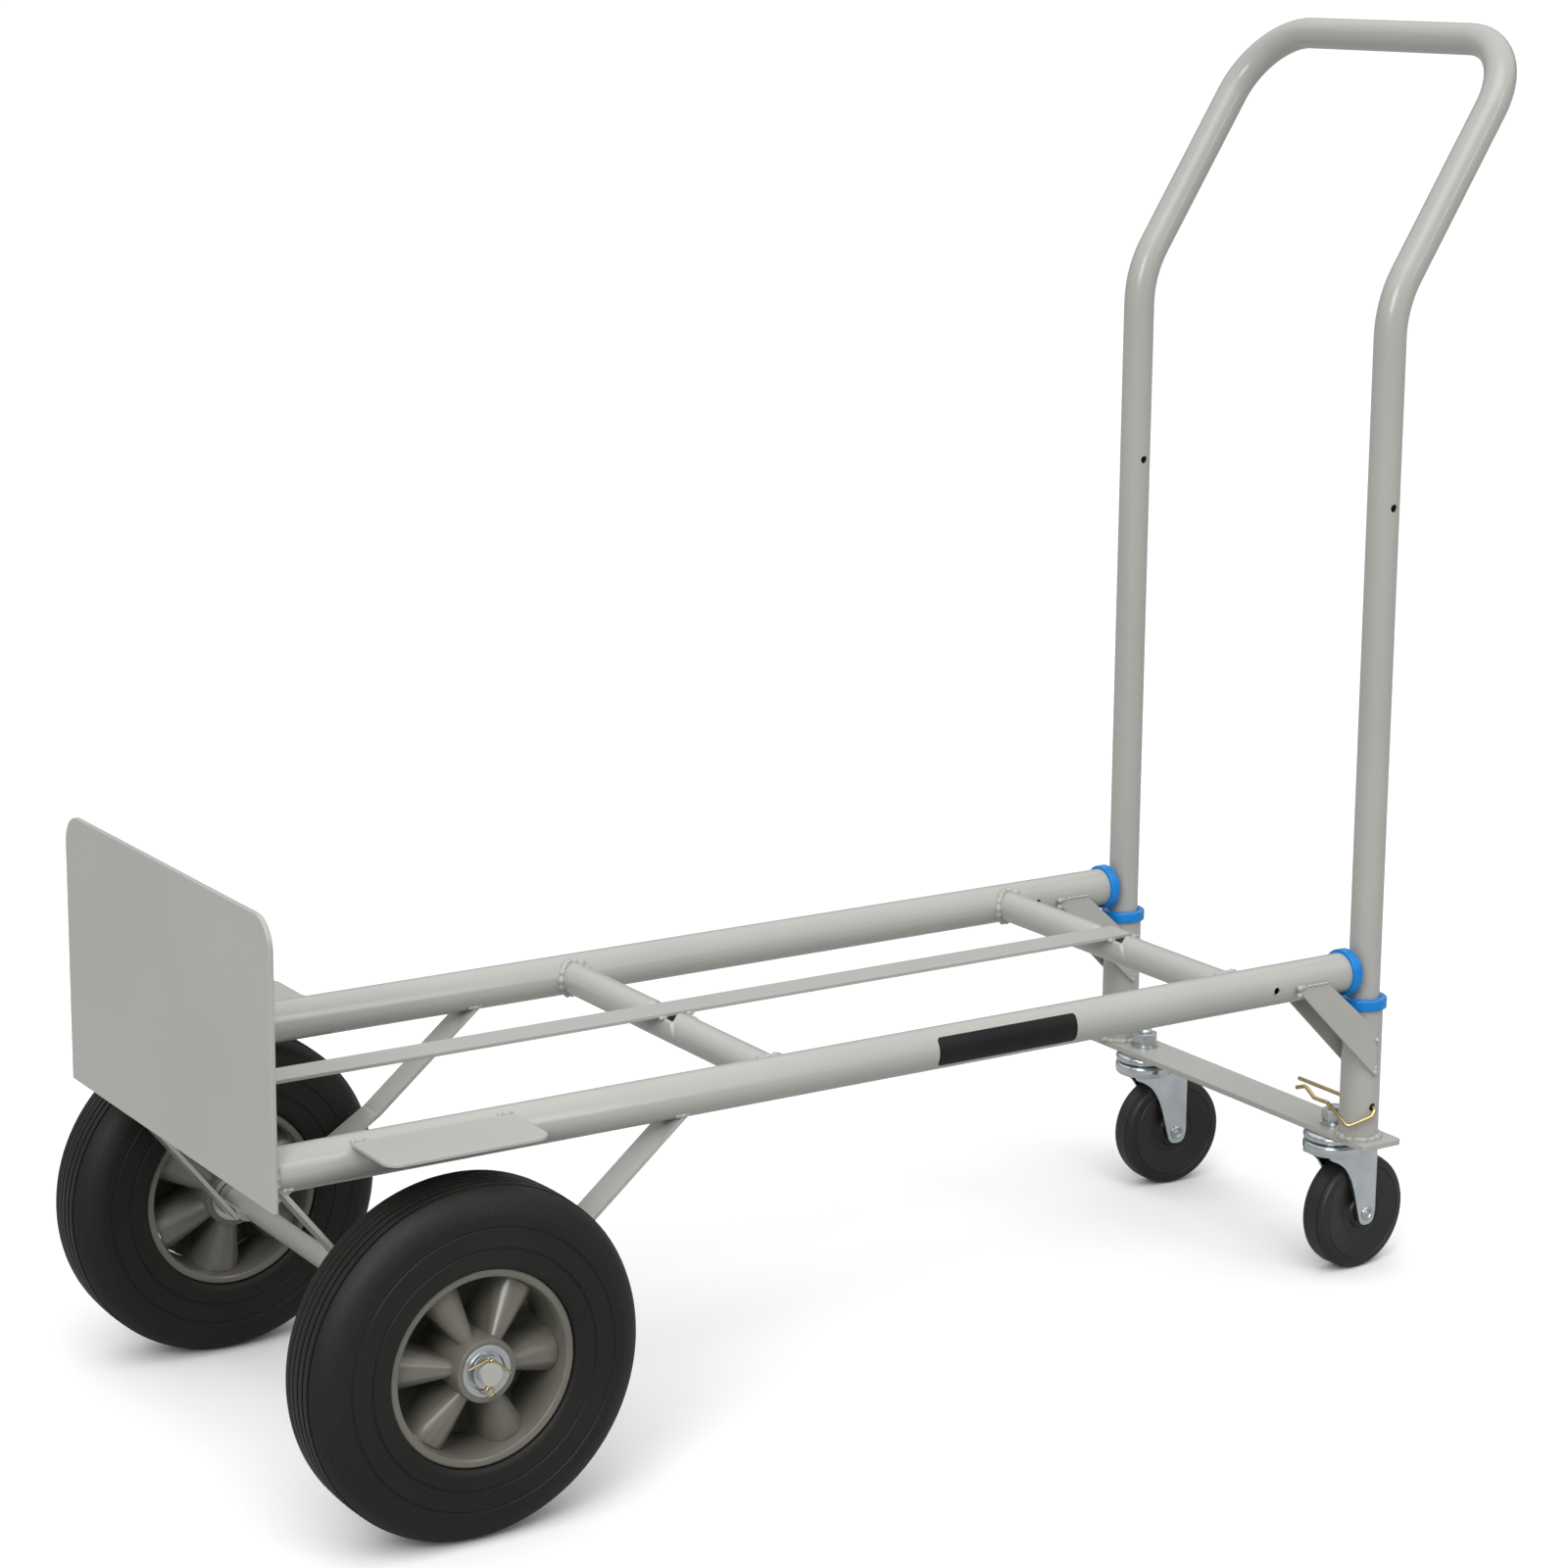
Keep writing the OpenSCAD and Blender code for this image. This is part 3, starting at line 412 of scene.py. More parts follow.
def makeTyre(side):
    k = sides[side]
    look = tyreLook
    outer, bead, seat = look["outer"], look["bead"], look["seat"]
    treadHalf, groove = look["treadHalf"], look["groove"]
    pitch = 2 * treadHalf / look["ribs"]
    valley = outer - look["grooveDepth"] - 0.4
    outline = [(66.1, seat, 0), (66.1, -seat, 0), (bead, -seat, 0), (bead, -29.4, 0.8)]
    sidewall = [(bead + 3.5, -31.6, 1.5), (84.6, -32, 0), (85.1, -31.3, 0), (86.1, -31.3, 0), (86.6, -32, 0),
                (99.6, -32, 0), (100.1, -31.4, 0), (101.0, -31.4, 0), (101.5, -32, 0), (109, -31.6, 2.0),
                (117.5, -28.2, 4.0), (123.0, -22.8, 4.0), (outer - 1.3, -17.6, 1.0),
                (outer - 1.6, -treadHalf - 0.7, 0)]
    outline += sidewall
    for i in range(look["ribs"]):
        y0 = -treadHalf + i * pitch + groove / 2
        y1 = -treadHalf + (i + 1) * pitch - groove / 2
        crown = outer - 0.35 * abs(i - 2) ** 1.5 * 0.5
        outline += [(valley, y0, 0), (crown, y0 + 0.2, 0.35), (crown, y1 - 0.2, 0.35), (valley, y1, 0)]
    outline += [(r, -h, c) for r, h, c in reversed(sidewall)]
    outline += [(bead, 29.4, 0.8), (bead, seat, 0)]
    bm = turned(outline, steps=180, at=facing((0, k, 0), wheelAt[side]))
    tyre = finishPiece("tyreBody_" + side, bm, "wheel_" + side, "tyre_rubber", sharp=32)
    zone = tyre.data.attributes.new("grainZone", "FLOAT", "POINT")
    centre = wheelAt[side]
    for i, v in enumerate(tyre.data.vertices):
        r = math.hypot(v.co.x - centre.x, v.co.z - centre.z) / mm
        onSide = look["grainFrom"] < r < look["grainTo"] and abs(v.co.y - centre.y) > 0.017
        zone.data[i].value = 1.0 if onSide else look["grainFree"]
    return standFor(tyre, "tyre_" + side)


hubLook = {"rim": 70.5, "rimHalf": 28.0, "lipIn": 64.6, "barrel": 61.5, "boss": 22.9, "bossHalf": 33.0,
           "bearing": 18.5, "bore": 9.5, "spokes": 6, "phase": -5.0, "rootTop": 25.5, "tipTop": 19.5,
           "wall": 2.4, "flat": 0.3, "shoulder": 36, "flatShare": 0.28, "ridgeShare": 0.84, "perSpoke": 64,
           "rows": 9}


def makeHub(side):
    k = sides[side]
    look = hubLook
    place = facing((0, k, 0), wheelAt[side])
    rim, edge, lip = look["rim"], look["rimHalf"], look["lipIn"]
    half = [(look["barrel"], 0.0, 0), (look["barrel"] + 1.6, edge - 6, 0.8), (lip - 0.8, edge - 3.4, 0.4),
            (lip, edge - 0.6, 0.5), (lip + 1.6, edge, 0.3), (rim - 1.2, edge + 0.2, 0.5),
            (rim, edge - 0.9, 0.5), (rim, edge - 3.3, 0.4), (66.0, edge - 4.0, 0)]
    outline = half + [(r, -h, c) for r, h, c in reversed(half) if h > 0]
    bm = turned(outline, steps=160, at=place)
    boss = look["boss"]
    top = look["bossHalf"]
    turned([(look["bore"], -top + 11, 0), (look["bearing"], -top + 11, 0), (look["bearing"], -top, 0.25),
            (boss - 0.6, -top, 0.6), (boss + 0.3, -top + 6, 0), (boss - 0.6, 0, 0), (boss + 0.3, top - 6, 0),
            (boss - 0.6, top, 0.6), (look["bearing"], top, 0.25), (look["bearing"], top - 11, 0),
            (look["bore"], top - 11, 0)], steps=96, bm=bm, at=place)
    # fluted web: arches that widen outwards, turned to alternate faces
    web = bmesh.new()
    spokes = look["spokes"]
    flatShare, ridgeShare = look["flatShare"], look["ridgeShare"]
    bmesh.ops.create_grid(web, x_segments=spokes * look["perSpoke"], y_segments=look["rows"], size=0.5)
    rootR, tipR = boss - 1.5, look["barrel"] + 0.8
    for v in web.verts:
        u = (v.co.x + 0.5) * spokes
        cell, t = math.floor(u + 1e-6), (u + 1e-6) % 1.0
        s = v.co.y + 0.5
        r = rootR + (tipR - rootR) * s
        archTop = look["rootTop"] + (look["tipTop"] - look["rootTop"]) * s
        width = r * math.sin(math.radians(180 / spokes / 2))
        base = archTop - width
        face = 1 if t < 0.5 else -1
        q = (t % 0.5) / 0.5
        if q < ridgeShare:      # the ridge itself: a flat top, two tight shoulders and rounded flanks
            part = q / ridgeShare * 2 - 1
            flat, lean = look["flat"], math.radians(look["shoulder"])
            if abs(part) < flatShare:
                across, rise = part / flatShare * flat, base + width
            else:
                swing = lean + (math.pi / 2 - lean) * (abs(part) - flatShare) / (1 - flatShare)
                reach = (math.sin(swing) - math.sin(lean)) / (1 - math.sin(lean))
                across = math.copysign(flat + (1 - flat) * reach, part)
                rise = base + width * math.cos(swing) / math.cos(lean)
        else:                   # its straight side wall, down towards the other face
            across = 1.0
            rise = base * (1 - 2 * (q - ridgeShare) / (1 - ridgeShare))
        angle = math.radians(look["phase"] + (cell + (0 if face > 0 else 0.5)) * 360 / spokes)
        angle += math.asin(max(-1, min(1, across * width * 0.995 / r)))
        v.co = Vector((math.cos(angle) * r * mm, math.sin(angle) * r * mm, face * rise * mm))
    bmesh.ops.remove_doubles(web, verts=web.verts[:], dist=2e-5)
    bmesh.ops.recalc_face_normals(web, faces=web.faces[:])
    if k > 0:   # the spokes' phase is as seen from outside, so the far wheel's web is mirrored
        bmesh.ops.transform(web, matrix=Matrix.Diagonal((1, -1, 1, 1)), verts=web.verts[:])
        bmesh.ops.recalc_face_normals(web, faces=web.faces[:])
    bmesh.ops.solidify(web, geom=web.faces[:], thickness=look["wall"] * mm)
    bmesh.ops.transform(web, matrix=place, verts=web.verts[:])
    joinInto(bm, web)
    hub = finishPiece("hubCasting_" + side, bm, "wheel_" + side, "hub_plastic", sharp=40)
    return standFor(hub, "hub_" + side)


bearingLook = {"foot": 22, "innerR": (8.1, 11.6), "outerR": (13.6, 18.45), "shield": (29.6, 30.4)}


def makeBearings(side):
    foot, (in0, in1), (out0, out1), (s0, s1) = bearingLook.values()
    bm = bmesh.new()
    for k in (-1, 1):
        place = facing((0, k, 0), wheelAt[side])
        turned([(in0, foot, 0), (in1, foot, 0), (in1, 32.9, 0.35), (in0, 32.9, 0.35)], 72, bm, place)
        turned([(out0, foot, 0), (out1, foot, 0), (out1, 33.1, 0.5), (out0, 32.6, 0.35)], 72, bm, place)
        turned([(in1 - 0.1, s0, 0), (out0 + 0.1, s0, 0), (out0 + 0.1, s1, 0), (in1 - 0.1, s1, 0)],
               48, bm, place)
    bearings = finishPiece("bearingPair_" + side, bm, "wheel_" + side, "steel_fittings")
    return standFor(bearings, "wheel_bearings_" + side)


for side in sides:
    makeTyre(side)
    makeHub(side)
    makeBearings(side)
print("wheels made")


# ---- collars ----

collarLook = {"flange": 18.67, "thick": 9.0, "bore": 13.05, "sleeve": 20.0, "sleeveR": 14.2}


def makeCollar(node, direction, at):
    look = collarLook
    bm = turned([(look["bore"], -look["sleeve"], 0), (look["sleeveR"], -look["sleeve"], 0.3),
                 (look["sleeveR"], 0, 0), (look["flange"], 0, 0.9), (look["flange"], look["thick"], 1.7),
                 (look["bore"], look["thick"], 1.2)], steps=96, at=facing(direction, at))
    piece = finishPiece(node + ".turned", bm, "root", "collar_plastic")
    return standFor(piece, node)


for side in sides:
    makeCollar("tube_collar_" + side, (1, 0, 0), Vector((tubeEnds[1], tubeMid[side].y, tubeMid[side].z)))
    makeCollar("socket_collar_" + side, (0, 0, 1), Vector((socketMid[side].x, socketMid[side].y, socketZ[1])))
print("collars made")


# ---- cross tubes, pressed down where the strap crosses them ----

crossLook = {"r": 12.7, "edgeTop": 15.5, "edgeSide": 31.0, "step": 3.4, "valley": 3.2, "crease": 50,
             "shoulder": 9.4, "bulge": 1.1, "bulgeTurn": 75}
crossNodes = "cross_tube_middle", "cross_tube_rear"


def makeCrossTube(node):
    look = crossLook
    at = mid(node)
    at.z = tubeMid["left"].z
    reach = (abs(tubeMid["left"].y) - math.sqrt(tubeR ** 2 - (look["r"] * mm) ** 2)) / mm + 0.5
    half = [12 + 0.8 * i for i in range(31)] + [36 + (reach - 36) * i / 14 for i in range(1, 15)]
    stops = [-y for y in reversed(half)] + [-8, -4, 0, 4, 8] + half
    bm = pipeAlong([Vector((at.x, y * mm, at.z)) for y in stops], look["r"] * mm, ringSides=64)
    for v in bm.verts:
        x, y, z = (v.co.x - at.x) / mm, abs(v.co.y) / mm, (v.co.z - at.z) / mm
        turn = math.degrees(math.atan2(abs(x), z))
        edge = look["edgeTop"] + (look["edgeSide"] - look["edgeTop"]) * min(turn, 90) / 90
        t = min(max((edge + look["step"] / 2 - y) / look["step"], 0), 1)
        press = t * t * (3 - 2 * t)
        if press > 0 and turn < 90:
            if turn < look["crease"]:   # a shallow valley under the strap, up to a crease at each side
                u = turn / look["crease"]
                low = look["valley"] + (look["shoulder"] - look["valley"]) * u * u
            else:
                u = (turn - look["crease"]) / (90 - look["crease"])
                low = look["shoulder"] * math.cos(u * math.pi / 2)
            z = z * (1 - press) + low * press
        x *= 1 + (look["bulge"] - 1) * press * max(0, math.cos(math.radians(turn - look["bulgeTurn"])))
        v.co.x, v.co.z = at.x + x * mm, at.z + z * mm
    bmesh.ops.recalc_face_normals(bm, faces=bm.faces[:])
    return standFor(finishPiece(node + ".pressed", bm, "root", "grey_paint", sharp=44), node)


for node in crossNodes:
    makeCrossTube(node)


# ---- weld beads ----

beadLook = {"radius": 2.0, "ripple": 0.42, "step": 0.9}


def weldBead(bm, path, closed=False, size=1.0):     # a lumpy run of weld, thinner at its ends
    look = beadLook
    dense = [path[0]]
    ends = path[1:] + ([path[0]] if closed else [])
    for point in ends:
        start = dense[-1]
        pieces = max(1, round((point - start).length / (look["step"] * mm)))
        dense += [start.lerp(point, (i + 1) / pieces) for i in range(pieces)]
    if closed:
        dense.pop()
    radii = []
    for i in range(len(dense)):
        wave = math.sin(i * 0.86) * 0.45 + math.sin(i * 2.17 + 1) * 0.3
        wave += math.sin(i * 0.31 + 1.3 + size) * 0.4
        fade = 1 if closed else min(1, 0.45 + 0.3 * min(i, len(dense) - 1 - i))
        radii.append(look["radius"] * mm * size * fade * (1 + look["ripple"] * wave))
    return pipeAlong(dense, 0, bm, ringSides=8, radii=radii, closed=closed)


def ringPath(at, normal, radius, count=40):
    place = facing(normal, at)
    turns = [math.tau * i / count for i in range(count)]
    return [place @ Vector((math.cos(a) * radius, math.sin(a) * radius, 0)) for a in turns]


def saddlePath(tube, x, face, r, count, lift=0.0):  # ring of radius r lying on a main tube's side
    path = []
    for i in range(count):
        a = math.tau * i / count
        z = math.sin(a) * r
        y = tube.y + face * (math.sqrt(tubeR ** 2 - z * z) + lift)
        path.append(Vector((x + math.cos(a) * r, y, tube.z + z)))
    return path


def makeWelds():
    bm = bmesh.new()
    strapLow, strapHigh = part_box("centre_strap")
    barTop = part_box("caster_bar")[1].z
    for side, k in sides.items():
        tube, socket = tubeMid[side], socketMid[side]
        foot = Vector((socket.x, socket.y, barTop + 0.0006))
        weldBead(bm, ringPath(foot, (0, 0, 1), tubeR + 0.0007), True, 1.35)
        joint = Vector((tubeEnds[0] + 0.0007, tube.y, tube.z))
        weldBead(bm, ringPath(joint, (1, 0, 0), tubeR + 0.0005), True, 1.0)
        for node in crossNodes:
            path = saddlePath(tube, mid(node).x, -k, crossLook["r"] * mm + 0.0005, 36, 0.0002)
            weldBead(bm, path, True, 1.35)
        low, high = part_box("gusset_" + side)
        onTube, onSocket = Vector((low.x, 0, tube.z)), Vector((socket.x, 0, 0))
        runs = (    # start, end (mm) and size of each short run on the gusset's two cheeks
            (onTube, (1, -0.6), (9, 0), 1.2), (onTube, (11, 0.2), (33, 0), 0.5),
            (onTube, (2, -4), (4.5, -9), 1.0),
            (onSocket, (-1, low.z / mm + 1), (0, low.z / mm + 9), 1.0),
            (onSocket, (0, socketZ[1] / mm - 22), (0, socketZ[1] / mm - 27), 1.0))
        for face in (low.y, high.y):
            for base, start, end, size in runs:
                weldBead(bm, [base + Vector((x * mm, face, z * mm)) for x, z in (start, end)], size=size)
        low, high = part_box("fender_" + side)
        for x in (low.x, high.x - 0.012):
            edge = tube.y + k * math.sqrt(tubeR ** 2 - (high.z - tube.z) ** 2)
            weldBead(bm, [Vector((x, edge, high.z)), Vector((x + 0.012, edge, high.z))], size=0.9)
        low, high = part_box("axle_brace_" + side)
        for x, dx in ((high.x - 0.003, -0.009), (low.x + 0.003, 0.009)):
            for y in (tube.y - 0.0115, tube.y + 0.0115):
                z = tube.z - math.sqrt(tubeR ** 2 - 0.0115 ** 2)
                weldBead(bm, [Vector((x, y, z)), Vector((x + dx, y, z))])
    for node in crossNodes:     # short runs under the strap's edges
        for k in (-1, 1):
            for dx in (-0.012, 0.012):
                at = Vector((mid(node).x + dx, k * (strapHigh.y + 0.0004), strapLow.z - 0.0003))
                weldBead(bm, [at - Vector((0.0035, 0, 0)), at + Vector((0.0035, 0, 0.0002))], size=0.85)
    for k in (-1, 1):
        at = Vector((strapLow.x + 0.0006, k * 0.004, strapLow.z - 0.0003))
        weldBead(bm, [at, at + Vector((0, k * 0.008, 0))])
    finishPiece("weldBeads", bm, "root", "grey_paint", sharp=80)


makeWelds()


# ---- bare rims left by the paint round the cross holes ----

rimLook = {"holeR": 3.25, "wire": 0.5, "setBack": 78}


def makeHoleRims():
    bm = bmesh.new()
    for tube in tubeMid.values():
        for face in (-1, 1):
            path = saddlePath(tube, tubeEnds[1] - rimLook["setBack"] * mm, face, rimLook["holeR"] * mm, 32)
            pipeAlong(path, rimLook["wire"] * mm, bm, ringSides=8, closed=True)
    finishPiece("holeRims", bm, "root", "grey_paint", sharp=80)


makeHoleRims()
print("tubes and welds made")


# ---- plates and bars with rounded edges ----

edgeRounds = {"toe_plate": 0.8, "centre_strap": 0.4, "caster_bar": 0.8, "axle": 0.9, "fender_left": 0.6,
              "fender_right": 0.6, "axle_brace_left": 0.6, "axle_brace_right": 0.6, "gusset_left": 0.45,
              "gusset_right": 0.45}

for node, width in edgeRounds.items():
    softEdged(node, width)
print("plates rounded")


# ---- blank label, wrapped round the near tube ----

labelLook = {"corner": 3.0, "thick": 0.35, "slices": 26}


def makeLabel():
    low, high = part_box("name_plate")
    tube = tubeMid["left"]
    arcLow, arcHigh = (tubeR * math.asin(min(1, max(-1, (z - tube.z) / (tubeR + 0.0002))))
                       for z in (low.z, high.z))
    bm = bmesh.new()
    ring = [bm.verts.new((x, 0, z)) for x, z in ((low.x, arcLow), (high.x, arcLow),
                                                 (high.x, arcHigh), (low.x, arcHigh))]
    bm.faces.new(ring)
    roundCorners(bm, ring, [(0, 0, labelLook["corner"])] * 4, 6)
    for i in range(1, labelLook["slices"]):
        cutAcross(bm, (0, 0, arcLow + (arcHigh - arcLow) * i / labelLook["slices"]), (0, 0, 1))
    thicken(bm, labelLook["thick"])
    for v in bm.verts:
        angle, r = v.co.z / tubeR, tubeR - v.co.y
        v.co.y, v.co.z = tube.y - math.cos(angle) * r, tube.z + math.sin(angle) * r
    bmesh.ops.recalc_face_normals(bm, faces=bm.faces[:])
    standFor(finishPiece("labelFilm", bm, "root", "label_film", sharp=50), "name_plate")


makeLabel()


# ---- casters ----

casterLook = {"r": 48.0, "half": 12.5, "trail": 25.0, "leg": 15.25, "sheet": 2.5, "race": 25.0, "eye": 9.6,
              "creaseX": 16.5, "creaseRun": 1.5, "creaseFoot": 60.0, "creaseTop": 98.0, "creaseDepth": 0.8}


def casterFrame(side):
    axis = rollAxis[side]
    at = swivelAt[side]
    return Matrix.Translation((at.x, at.y, 0)) @ Matrix.Rotation(math.atan2(-axis.x, axis.y), 4, "Z")


def makeFork(side):     # race, two pressed legs and the crown sheet between them
    look = casterLook
    place = casterFrame(side)
    r, trail, eye = look["r"], look["trail"], look["eye"]
    bm = turned([(6.5, 103.0, 0), (look["race"] - 1.2, 103.0, 0.8), (look["race"] - 0.6, 105.2, 0.5),
                 (look["race"] + 0.1, 106.6, 1.4), (look["race"] + 0.1, 111.6, 1.4),
                 (look["race"] - 2.2, 112.9, 0.8), (19.2, 112.9, 0.5), (17.6, 110.4, 0.3), (12.4, 110.4, 0.3),
                 (6.5, 112.9, 0)], steps=120, at=place)
    creaseX, creaseRun, creaseFoot = look["creaseX"], look["creaseRun"], look["creaseFoot"]
    fadeRun = look["creaseTop"] - creaseFoot
    for k in (-1, 1):
        leg = bmesh.new()
        outline = [(-18.4, 104.8, 0.6), (-18.4, 101.2, 1.5), (-7.0, 97.0, 9.0), (3.0, 86.0, 9.0),
                   (8.6, 72.0, 12.0), (13.0, 56.0, 10.0), (trail - eye, r - 1.0, 3.0),
                   (trail - eye * 0.72, r - eye * 0.98, 5.0),
                   (trail + eye * 0.72, r - eye * 0.98, 5.0), (trail + eye, r + 1.0, 3.0),
                   (trail + eye * 0.94, 92.0, 4.0), (trail + eye * 0.9, 105.0, 1.0)]
        ring = [leg.verts.new((x * mm, 0, z * mm)) for x, z, _ in outline]
        leg.faces.new(ring)
        roundCorners(leg, ring, outline, 5)
        thicken(leg, look["sheet"])
        bmesh.ops.recalc_face_normals(leg, faces=leg.faces[:])
        roundEdges(leg, sharpEdges(leg, 60), 0.55)
        for x in (creaseX, creaseX + creaseRun):
            cutAcross(leg, (x * mm, 0, 0), (1, 0, 0))
        for z in (creaseFoot, creaseFoot + fadeRun):
            cutAcross(leg, (0, 0, z * mm), (0, 0, 1))
        for v in leg.verts:     # pressed step behind the crease, fading towards the eye
            across = min(max((v.co.x / mm - creaseX) / creaseRun, 0), 1)
            along = min(max((v.co.z / mm - creaseFoot) / fadeRun, 0), 1)
            v.co.y -= across * along * look["creaseDepth"] * mm
        shift = Matrix.Translation((0, -(look["leg"] - look["sheet"] / 2) * mm, 0))
        bmesh.ops.transform(leg, matrix=shift, verts=leg.verts[:])
        if k > 0:
            bmesh.ops.transform(leg, matrix=Matrix.Diagonal((1, -1, 1, 1)), verts=leg.verts[:])
            bmesh.ops.recalc_face_normals(leg, faces=leg.faces[:])
        bmesh.ops.transform(leg, matrix=place, verts=leg.verts[:])
        joinInto(bm, leg)
    # crown sheet between the legs, behind the race
    crown = bmesh.new()
    bmesh.ops.create_cube(crown, size=1, matrix=place @ Matrix.Translation((7.7 * mm, 0, 104.15 * mm))
                          @ Matrix.Diagonal((52 * mm, 2 * look["leg"] * mm, 2.5 * mm, 1)))
    joinInto(bm, crown)
    fork = finishPiece("pressedFork_" + side, bm, "caster_" + side, "bright_zinc", sharp=35, crisp=True)
    return standFor(fork, "caster_fork_" + side)


def makeRivet(side):
    look = casterLook
    outer = look["leg"] + look["sheet"] / 2
    bm = bmesh.new()
    centre = casterFrame(side) @ Vector((look["trail"] * mm, 0, look["r"] * mm))
    for k in (-1, 1):
        turned([(0, -1, 0), (4.0, -1, 0), (4.0, outer, 0), (5.95, outer, 0.3), (5.95, outer + 1.0, 0.5),
                (4.9, outer + 1.95, 0.9), (3.6, outer + 1.5, 0.4), (3.1, outer + 0.35, 0.3),
                (2.5, outer + 0.35, 0.2), (1.9, outer + 1.2, 0.7), (0, outer + 1.3, 0)],
               56, bm, facing(rollAxis[side] * k, centre))
    return standFor(finishPiece("axleRivet_" + side, bm, "caster_" + side, "steel_fittings"),
                    "caster_axle_" + side)


def makeCasterWheel(side):
    look = casterLook
    r, h = look["r"], look["half"]
    half = [(7.0, h - 1.0, 0), (12.5, h - 1.0, 0.8), (13.8, h - 3.6, 0.8), (19.5, h - 3.9, 0),
            (20.2, h - 3.2, 0.3), (25.0, h - 2.6, 0.5), (33.0, h - 1.0, 1.2), (38.4, h - 0.2, 0),
            (38.9, h - 0.75, 0), (39.5, h - 0.75, 0), (40.0, h - 0.2, 0), (r - 1.4, h - 0.9, 2.6),
            (r - 0.35, 6.6, 0), (r - 0.75, 6.3, 0), (r - 0.75, 5.9, 0), (r, 5.6, 0)]
    outline = half + [(a, -b, c) for a, b, c in reversed(half)]
    bm = turned(outline, steps=128, at=facing(rollAxis[side], rollAt[side]))
    wheel = finishPiece("casterTread_" + side, bm, "caster_roller_" + side, "caster_rubber", sharp=30)
    return standFor(wheel, "caster_wheel_" + side)


stemLook = {"thread": 5.98, "root": 5.4, "pitch": 1.0, "headR": 9.6, "head": 3.4, "nutR": 10.9, "nutTurn": 11}


def makeStemAndNut(side):
    look = stemLook
    low, top = (z.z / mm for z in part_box("caster_nuts"))
    foot, end = (z.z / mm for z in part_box("caster_stems"))
    at = Vector((swivelAt[side].x, swivelAt[side].y, 0))
    place = Matrix.Translation(at) @ Matrix.Rotation(math.radians(look["nutTurn"] * sides[side]), 4, "Z")
    thread, headR, head = look["thread"], look["headR"], look["head"]
    outline = [(0, foot, 0), (headR, foot, 1.2), (headR, foot + head, 0.4), (thread, foot + head + 0.1, 0),
               (thread, low, 0)]
    z = low
    while z < end - 1.6:    # turns of thread above the bar
        outline += [(look["root"], z + 0.4, 0), (thread, z + 0.85, 0)]
        z += look["pitch"]
    outline += [(4.9, end, 0.3), (0, end, 0)]
    bm = turned(outline, 48, at=place)
    stem = finishPiece("casterStem_" + side, bm, "root", "steel_fittings", sharp=30)
    nut = bmesh.new()
    nutR = look["nutR"] * mm
    bmesh.ops.create_cone(nut, cap_ends=True, segments=6, radius1=nutR, radius2=nutR, depth=(top - low) * mm,
                          matrix=place @ Matrix.Translation((0, 0, (top + low) / 2 * mm)))
    flat = [e for e in nut.edges if abs(e.verts[0].co.z - e.verts[1].co.z) < 1e-6]
    roundEdges(nut, flat, 0.9, 3)
    roundEdges(nut, sharpEdges(nut, 50), 0.35)
    return stem, finishPiece("casterNut_" + side, nut, "root", "steel_fittings", sharp=40, crisp=True)


stems, nuts = zip(*(makeStemAndNut(side) for side in sides))
standFor(stems[0], "caster_stems")      # one frame node holds both stems, and one both nuts
standFor(nuts[0], "caster_nuts")
for side in sides:
    makeFork(side)
    makeRivet(side)
    makeCasterWheel(side)
print("casters made")


# ---- pins of bent wire ----

pinLook = {"wire": 1.75, "bend": 4.0, "endRound": 0.4, "cotterWire": 0.85, "cotterBend": 1.4,
           "cotterY": 240.2}


def makeLockPin():
    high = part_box("lock_pin")[1]
    centre = [v.co.z for v in frame["nodes"]["lock_pin"].data.vertices if abs(v.co.y - high.y) < 1e-5]
    at = Vector((socketMid["left"].x, socketMid["left"].y, (min(centre) + max(centre)) / 2))
    out = tubeR / mm + 4
    bends = [(0, high.y / mm - at.y / mm, 0), (0, -out, 0), (-6, -out - 1, -6), (-24, -out + 6, -13),
             (-25, 10, 1), (-25, 26, 0.5), (-24, 38, 7), (-27, 46, 4)]
    path = rounded([at + Vector(p) * mm for p in bends], pinLook["bend"] * mm, steps=6)
    bm = pipeAlong(path, pinLook["wire"] * mm, ringSides=16)
    roundEdges(bm, sharpEdges(bm, 70), pinLook["endRound"])
    return standFor(finishPiece("wirePin", bm, "lock_pin", "yellow_zinc"), "lock_pin")


def makeCotters():
    bm = bmesh.new()
    for side, k in sides.items():
        at = Vector((wheelAt[side].x, k * pinLook["cotterY"] * mm, wheelAt[side].z))
        bends = [(-16.5, 0.4 * k, 5.4), (-1.6, 0, 9.6), (-0.8, 0, 8.4), (-0.8, 0, -9.0), (-3.0, 0, -12.0),
                 (-2.6, 0, -15.2), (0, 0, -16.6), (2.6, 0, -15.2), (3.0, 0, -12.0), (0.8, 0, -9.0),
                 (0.8, 0, 8.2), (2.0, 0, 9.4), (15.6, 0.9 * k, -2.6)]
        path = rounded([at + Vector(p) * mm for p in bends], pinLook["cotterBend"] * mm, steps=4)
        pipeAlong(path, pinLook["cotterWire"] * mm, bm, ringSides=12)
    return standFor(finishPiece("splitPins", bm, "root", "yellow_zinc"), "cotter_pins")


makeLockPin()
makeCotters()
print("pins made")


# ---- stage, light and camera ----

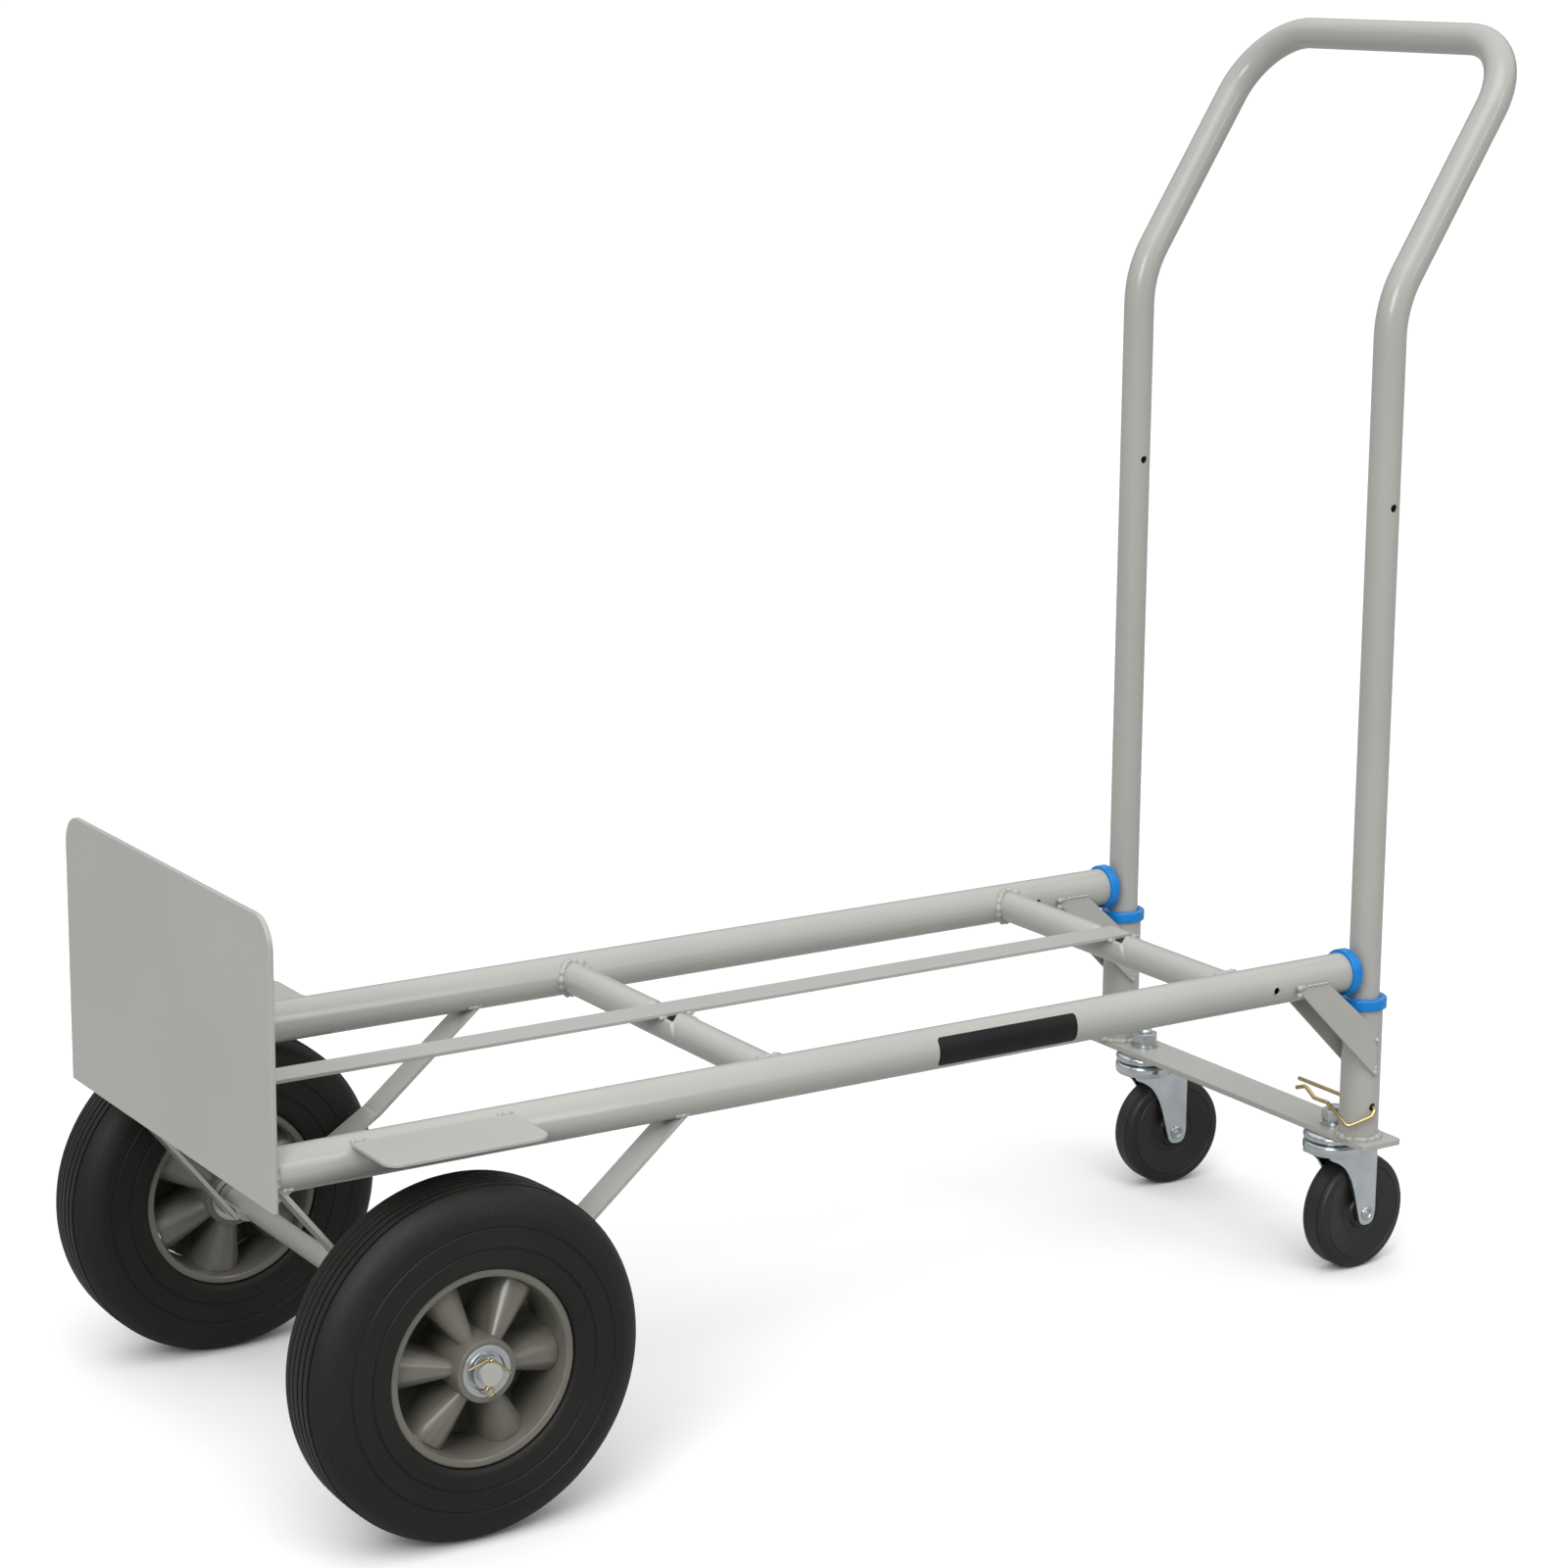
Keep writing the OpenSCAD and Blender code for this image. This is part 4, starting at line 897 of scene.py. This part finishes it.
def makeStage():
    bm = bmesh.new()
    bmesh.ops.create_grid(bm, x_segments=1, y_segments=1, size=80)
    mesh = bpy.data.meshes.new("floorPlane")
    bm.to_mesh(mesh)
    bm.free()
    floor = bpy.data.objects.new("floorPlane", mesh)
    bpy.context.scene.collection.objects.link(floor)
    floor.location.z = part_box("tyre_left")[0].z - 0.0002
    material = bpy.data.materials.new("paleFloor")
    material.use_nodes = True
    tree = material.node_tree
    shader = tree.nodes["Principled BSDF"]
    seen = addNode(tree, "ShaderNodeMix", data_type="RGBA")     # pale to the eye, but a weak reflector
    tree.links.new(addNode(tree, "ShaderNodeLightPath").outputs["Is Camera Ray"], seen.inputs[0])
    seen.inputs[6].default_value = (0.42, 0.42, 0.41, 1)
    seen.inputs[7].default_value = (0.93, 0.93, 0.93, 1)
    tree.links.new(seen.outputs[2], shader.inputs["Base Color"])
    shader.inputs["Roughness"].default_value = 0.85
    shader.inputs["Specular IOR Level"].default_value = 0.1
    mesh.materials.append(material)


def makeLight(name, at, aim, size, power, sizeY=None):
    data = bpy.data.lights.new(name, "AREA")
    data.shape = "RECTANGLE"
    data.size = size
    data.size_y = sizeY or size
    data.energy = power
    light = bpy.data.objects.new(name, data)
    bpy.context.scene.collection.objects.link(light)
    light.location = at
    light.rotation_euler = (Vector(aim) - Vector(at)).to_track_quat("-Z", "Y").to_euler()


cameraLook = {"lens": 84.784, "shift": (0.0625, -0.0692), "at": (-1.537826, -2.310424, 1.082301),
              "turn": -31.3934, "tilt": -11.4525, "roll": 0.1536}


def makeCamera():
    look = cameraLook
    data = bpy.data.cameras.new("view")
    data.sensor_width = 36
    data.lens = look["lens"]
    data.shift_x, data.shift_y = look["shift"]
    data.clip_end = 200
    camera = bpy.data.objects.new("view", data)
    bpy.context.scene.collection.objects.link(camera)
    turn = Matrix.Rotation(math.radians(look["turn"]), 4, "Z")
    turn = turn @ Matrix.Rotation(math.radians(90 + look["tilt"]), 4, "X")
    turn = turn @ Matrix.Rotation(math.radians(look["roll"]), 4, "Z")
    camera.matrix_world = Matrix.Translation(look["at"]) @ turn
    bpy.context.scene.camera = camera


def makeSun(name, heading, power, spread):
    data = bpy.data.lights.new(name, "SUN")
    data.energy = power
    data.angle = math.radians(spread)
    sun = bpy.data.objects.new(name, data)
    bpy.context.scene.collection.objects.link(sun)
    sun.rotation_euler = Vector(heading).to_track_quat("-Z", "Y").to_euler()


def makeWorld():     # bright overhead, dimmer towards the horizon, as in a room with a ceiling light
    world = bpy.data.worlds.new("studio")
    world.use_nodes = True
    tree = world.node_tree
    height = addNode(tree, "ShaderNodeSeparateXYZ")
    tree.links.new(addNode(tree, "ShaderNodeTexCoord").outputs["Generated"], height.inputs[0])
    fade = addNode(tree, "ShaderNodeMapRange", interpolation_type="SMOOTHSTEP",
                   **{"From Min": 0.05, "From Max": 0.75, "To Min": 0.22, "To Max": 1.0})
    tree.links.new(height.outputs["Z"], fade.inputs["Value"])
    # the plain backdrop itself is white
    seen = addNode(tree, "ShaderNodeLightPath").outputs["Is Camera Ray"]
    strength = mathNode(tree, "MAXIMUM", fade.outputs[0], mathNode(tree, "MULTIPLY", seen, 1.05))
    tree.links.new(strength, tree.nodes["Background"].inputs["Strength"])
    tree.nodes["Background"].inputs["Color"].default_value = (0.97, 0.985, 1.0, 1)
    bpy.context.scene.world = world


makeStage()
makeWorld()
makeSun("softTop", (0.35, 0.45, -1.0), 1.2, 50)
makeLight("keyBox", (-3.4, -2.6, 2.6), (0, 0, 0.4), 1.6, 62)
makeLight("stripBox", (1.6, -3.6, 2.2), (0.1, 0, 0.4), 0.4, 16, 2.2)
bpy.context.scene.view_settings.view_transform = "Standard"
makeCamera()
print("stage set")
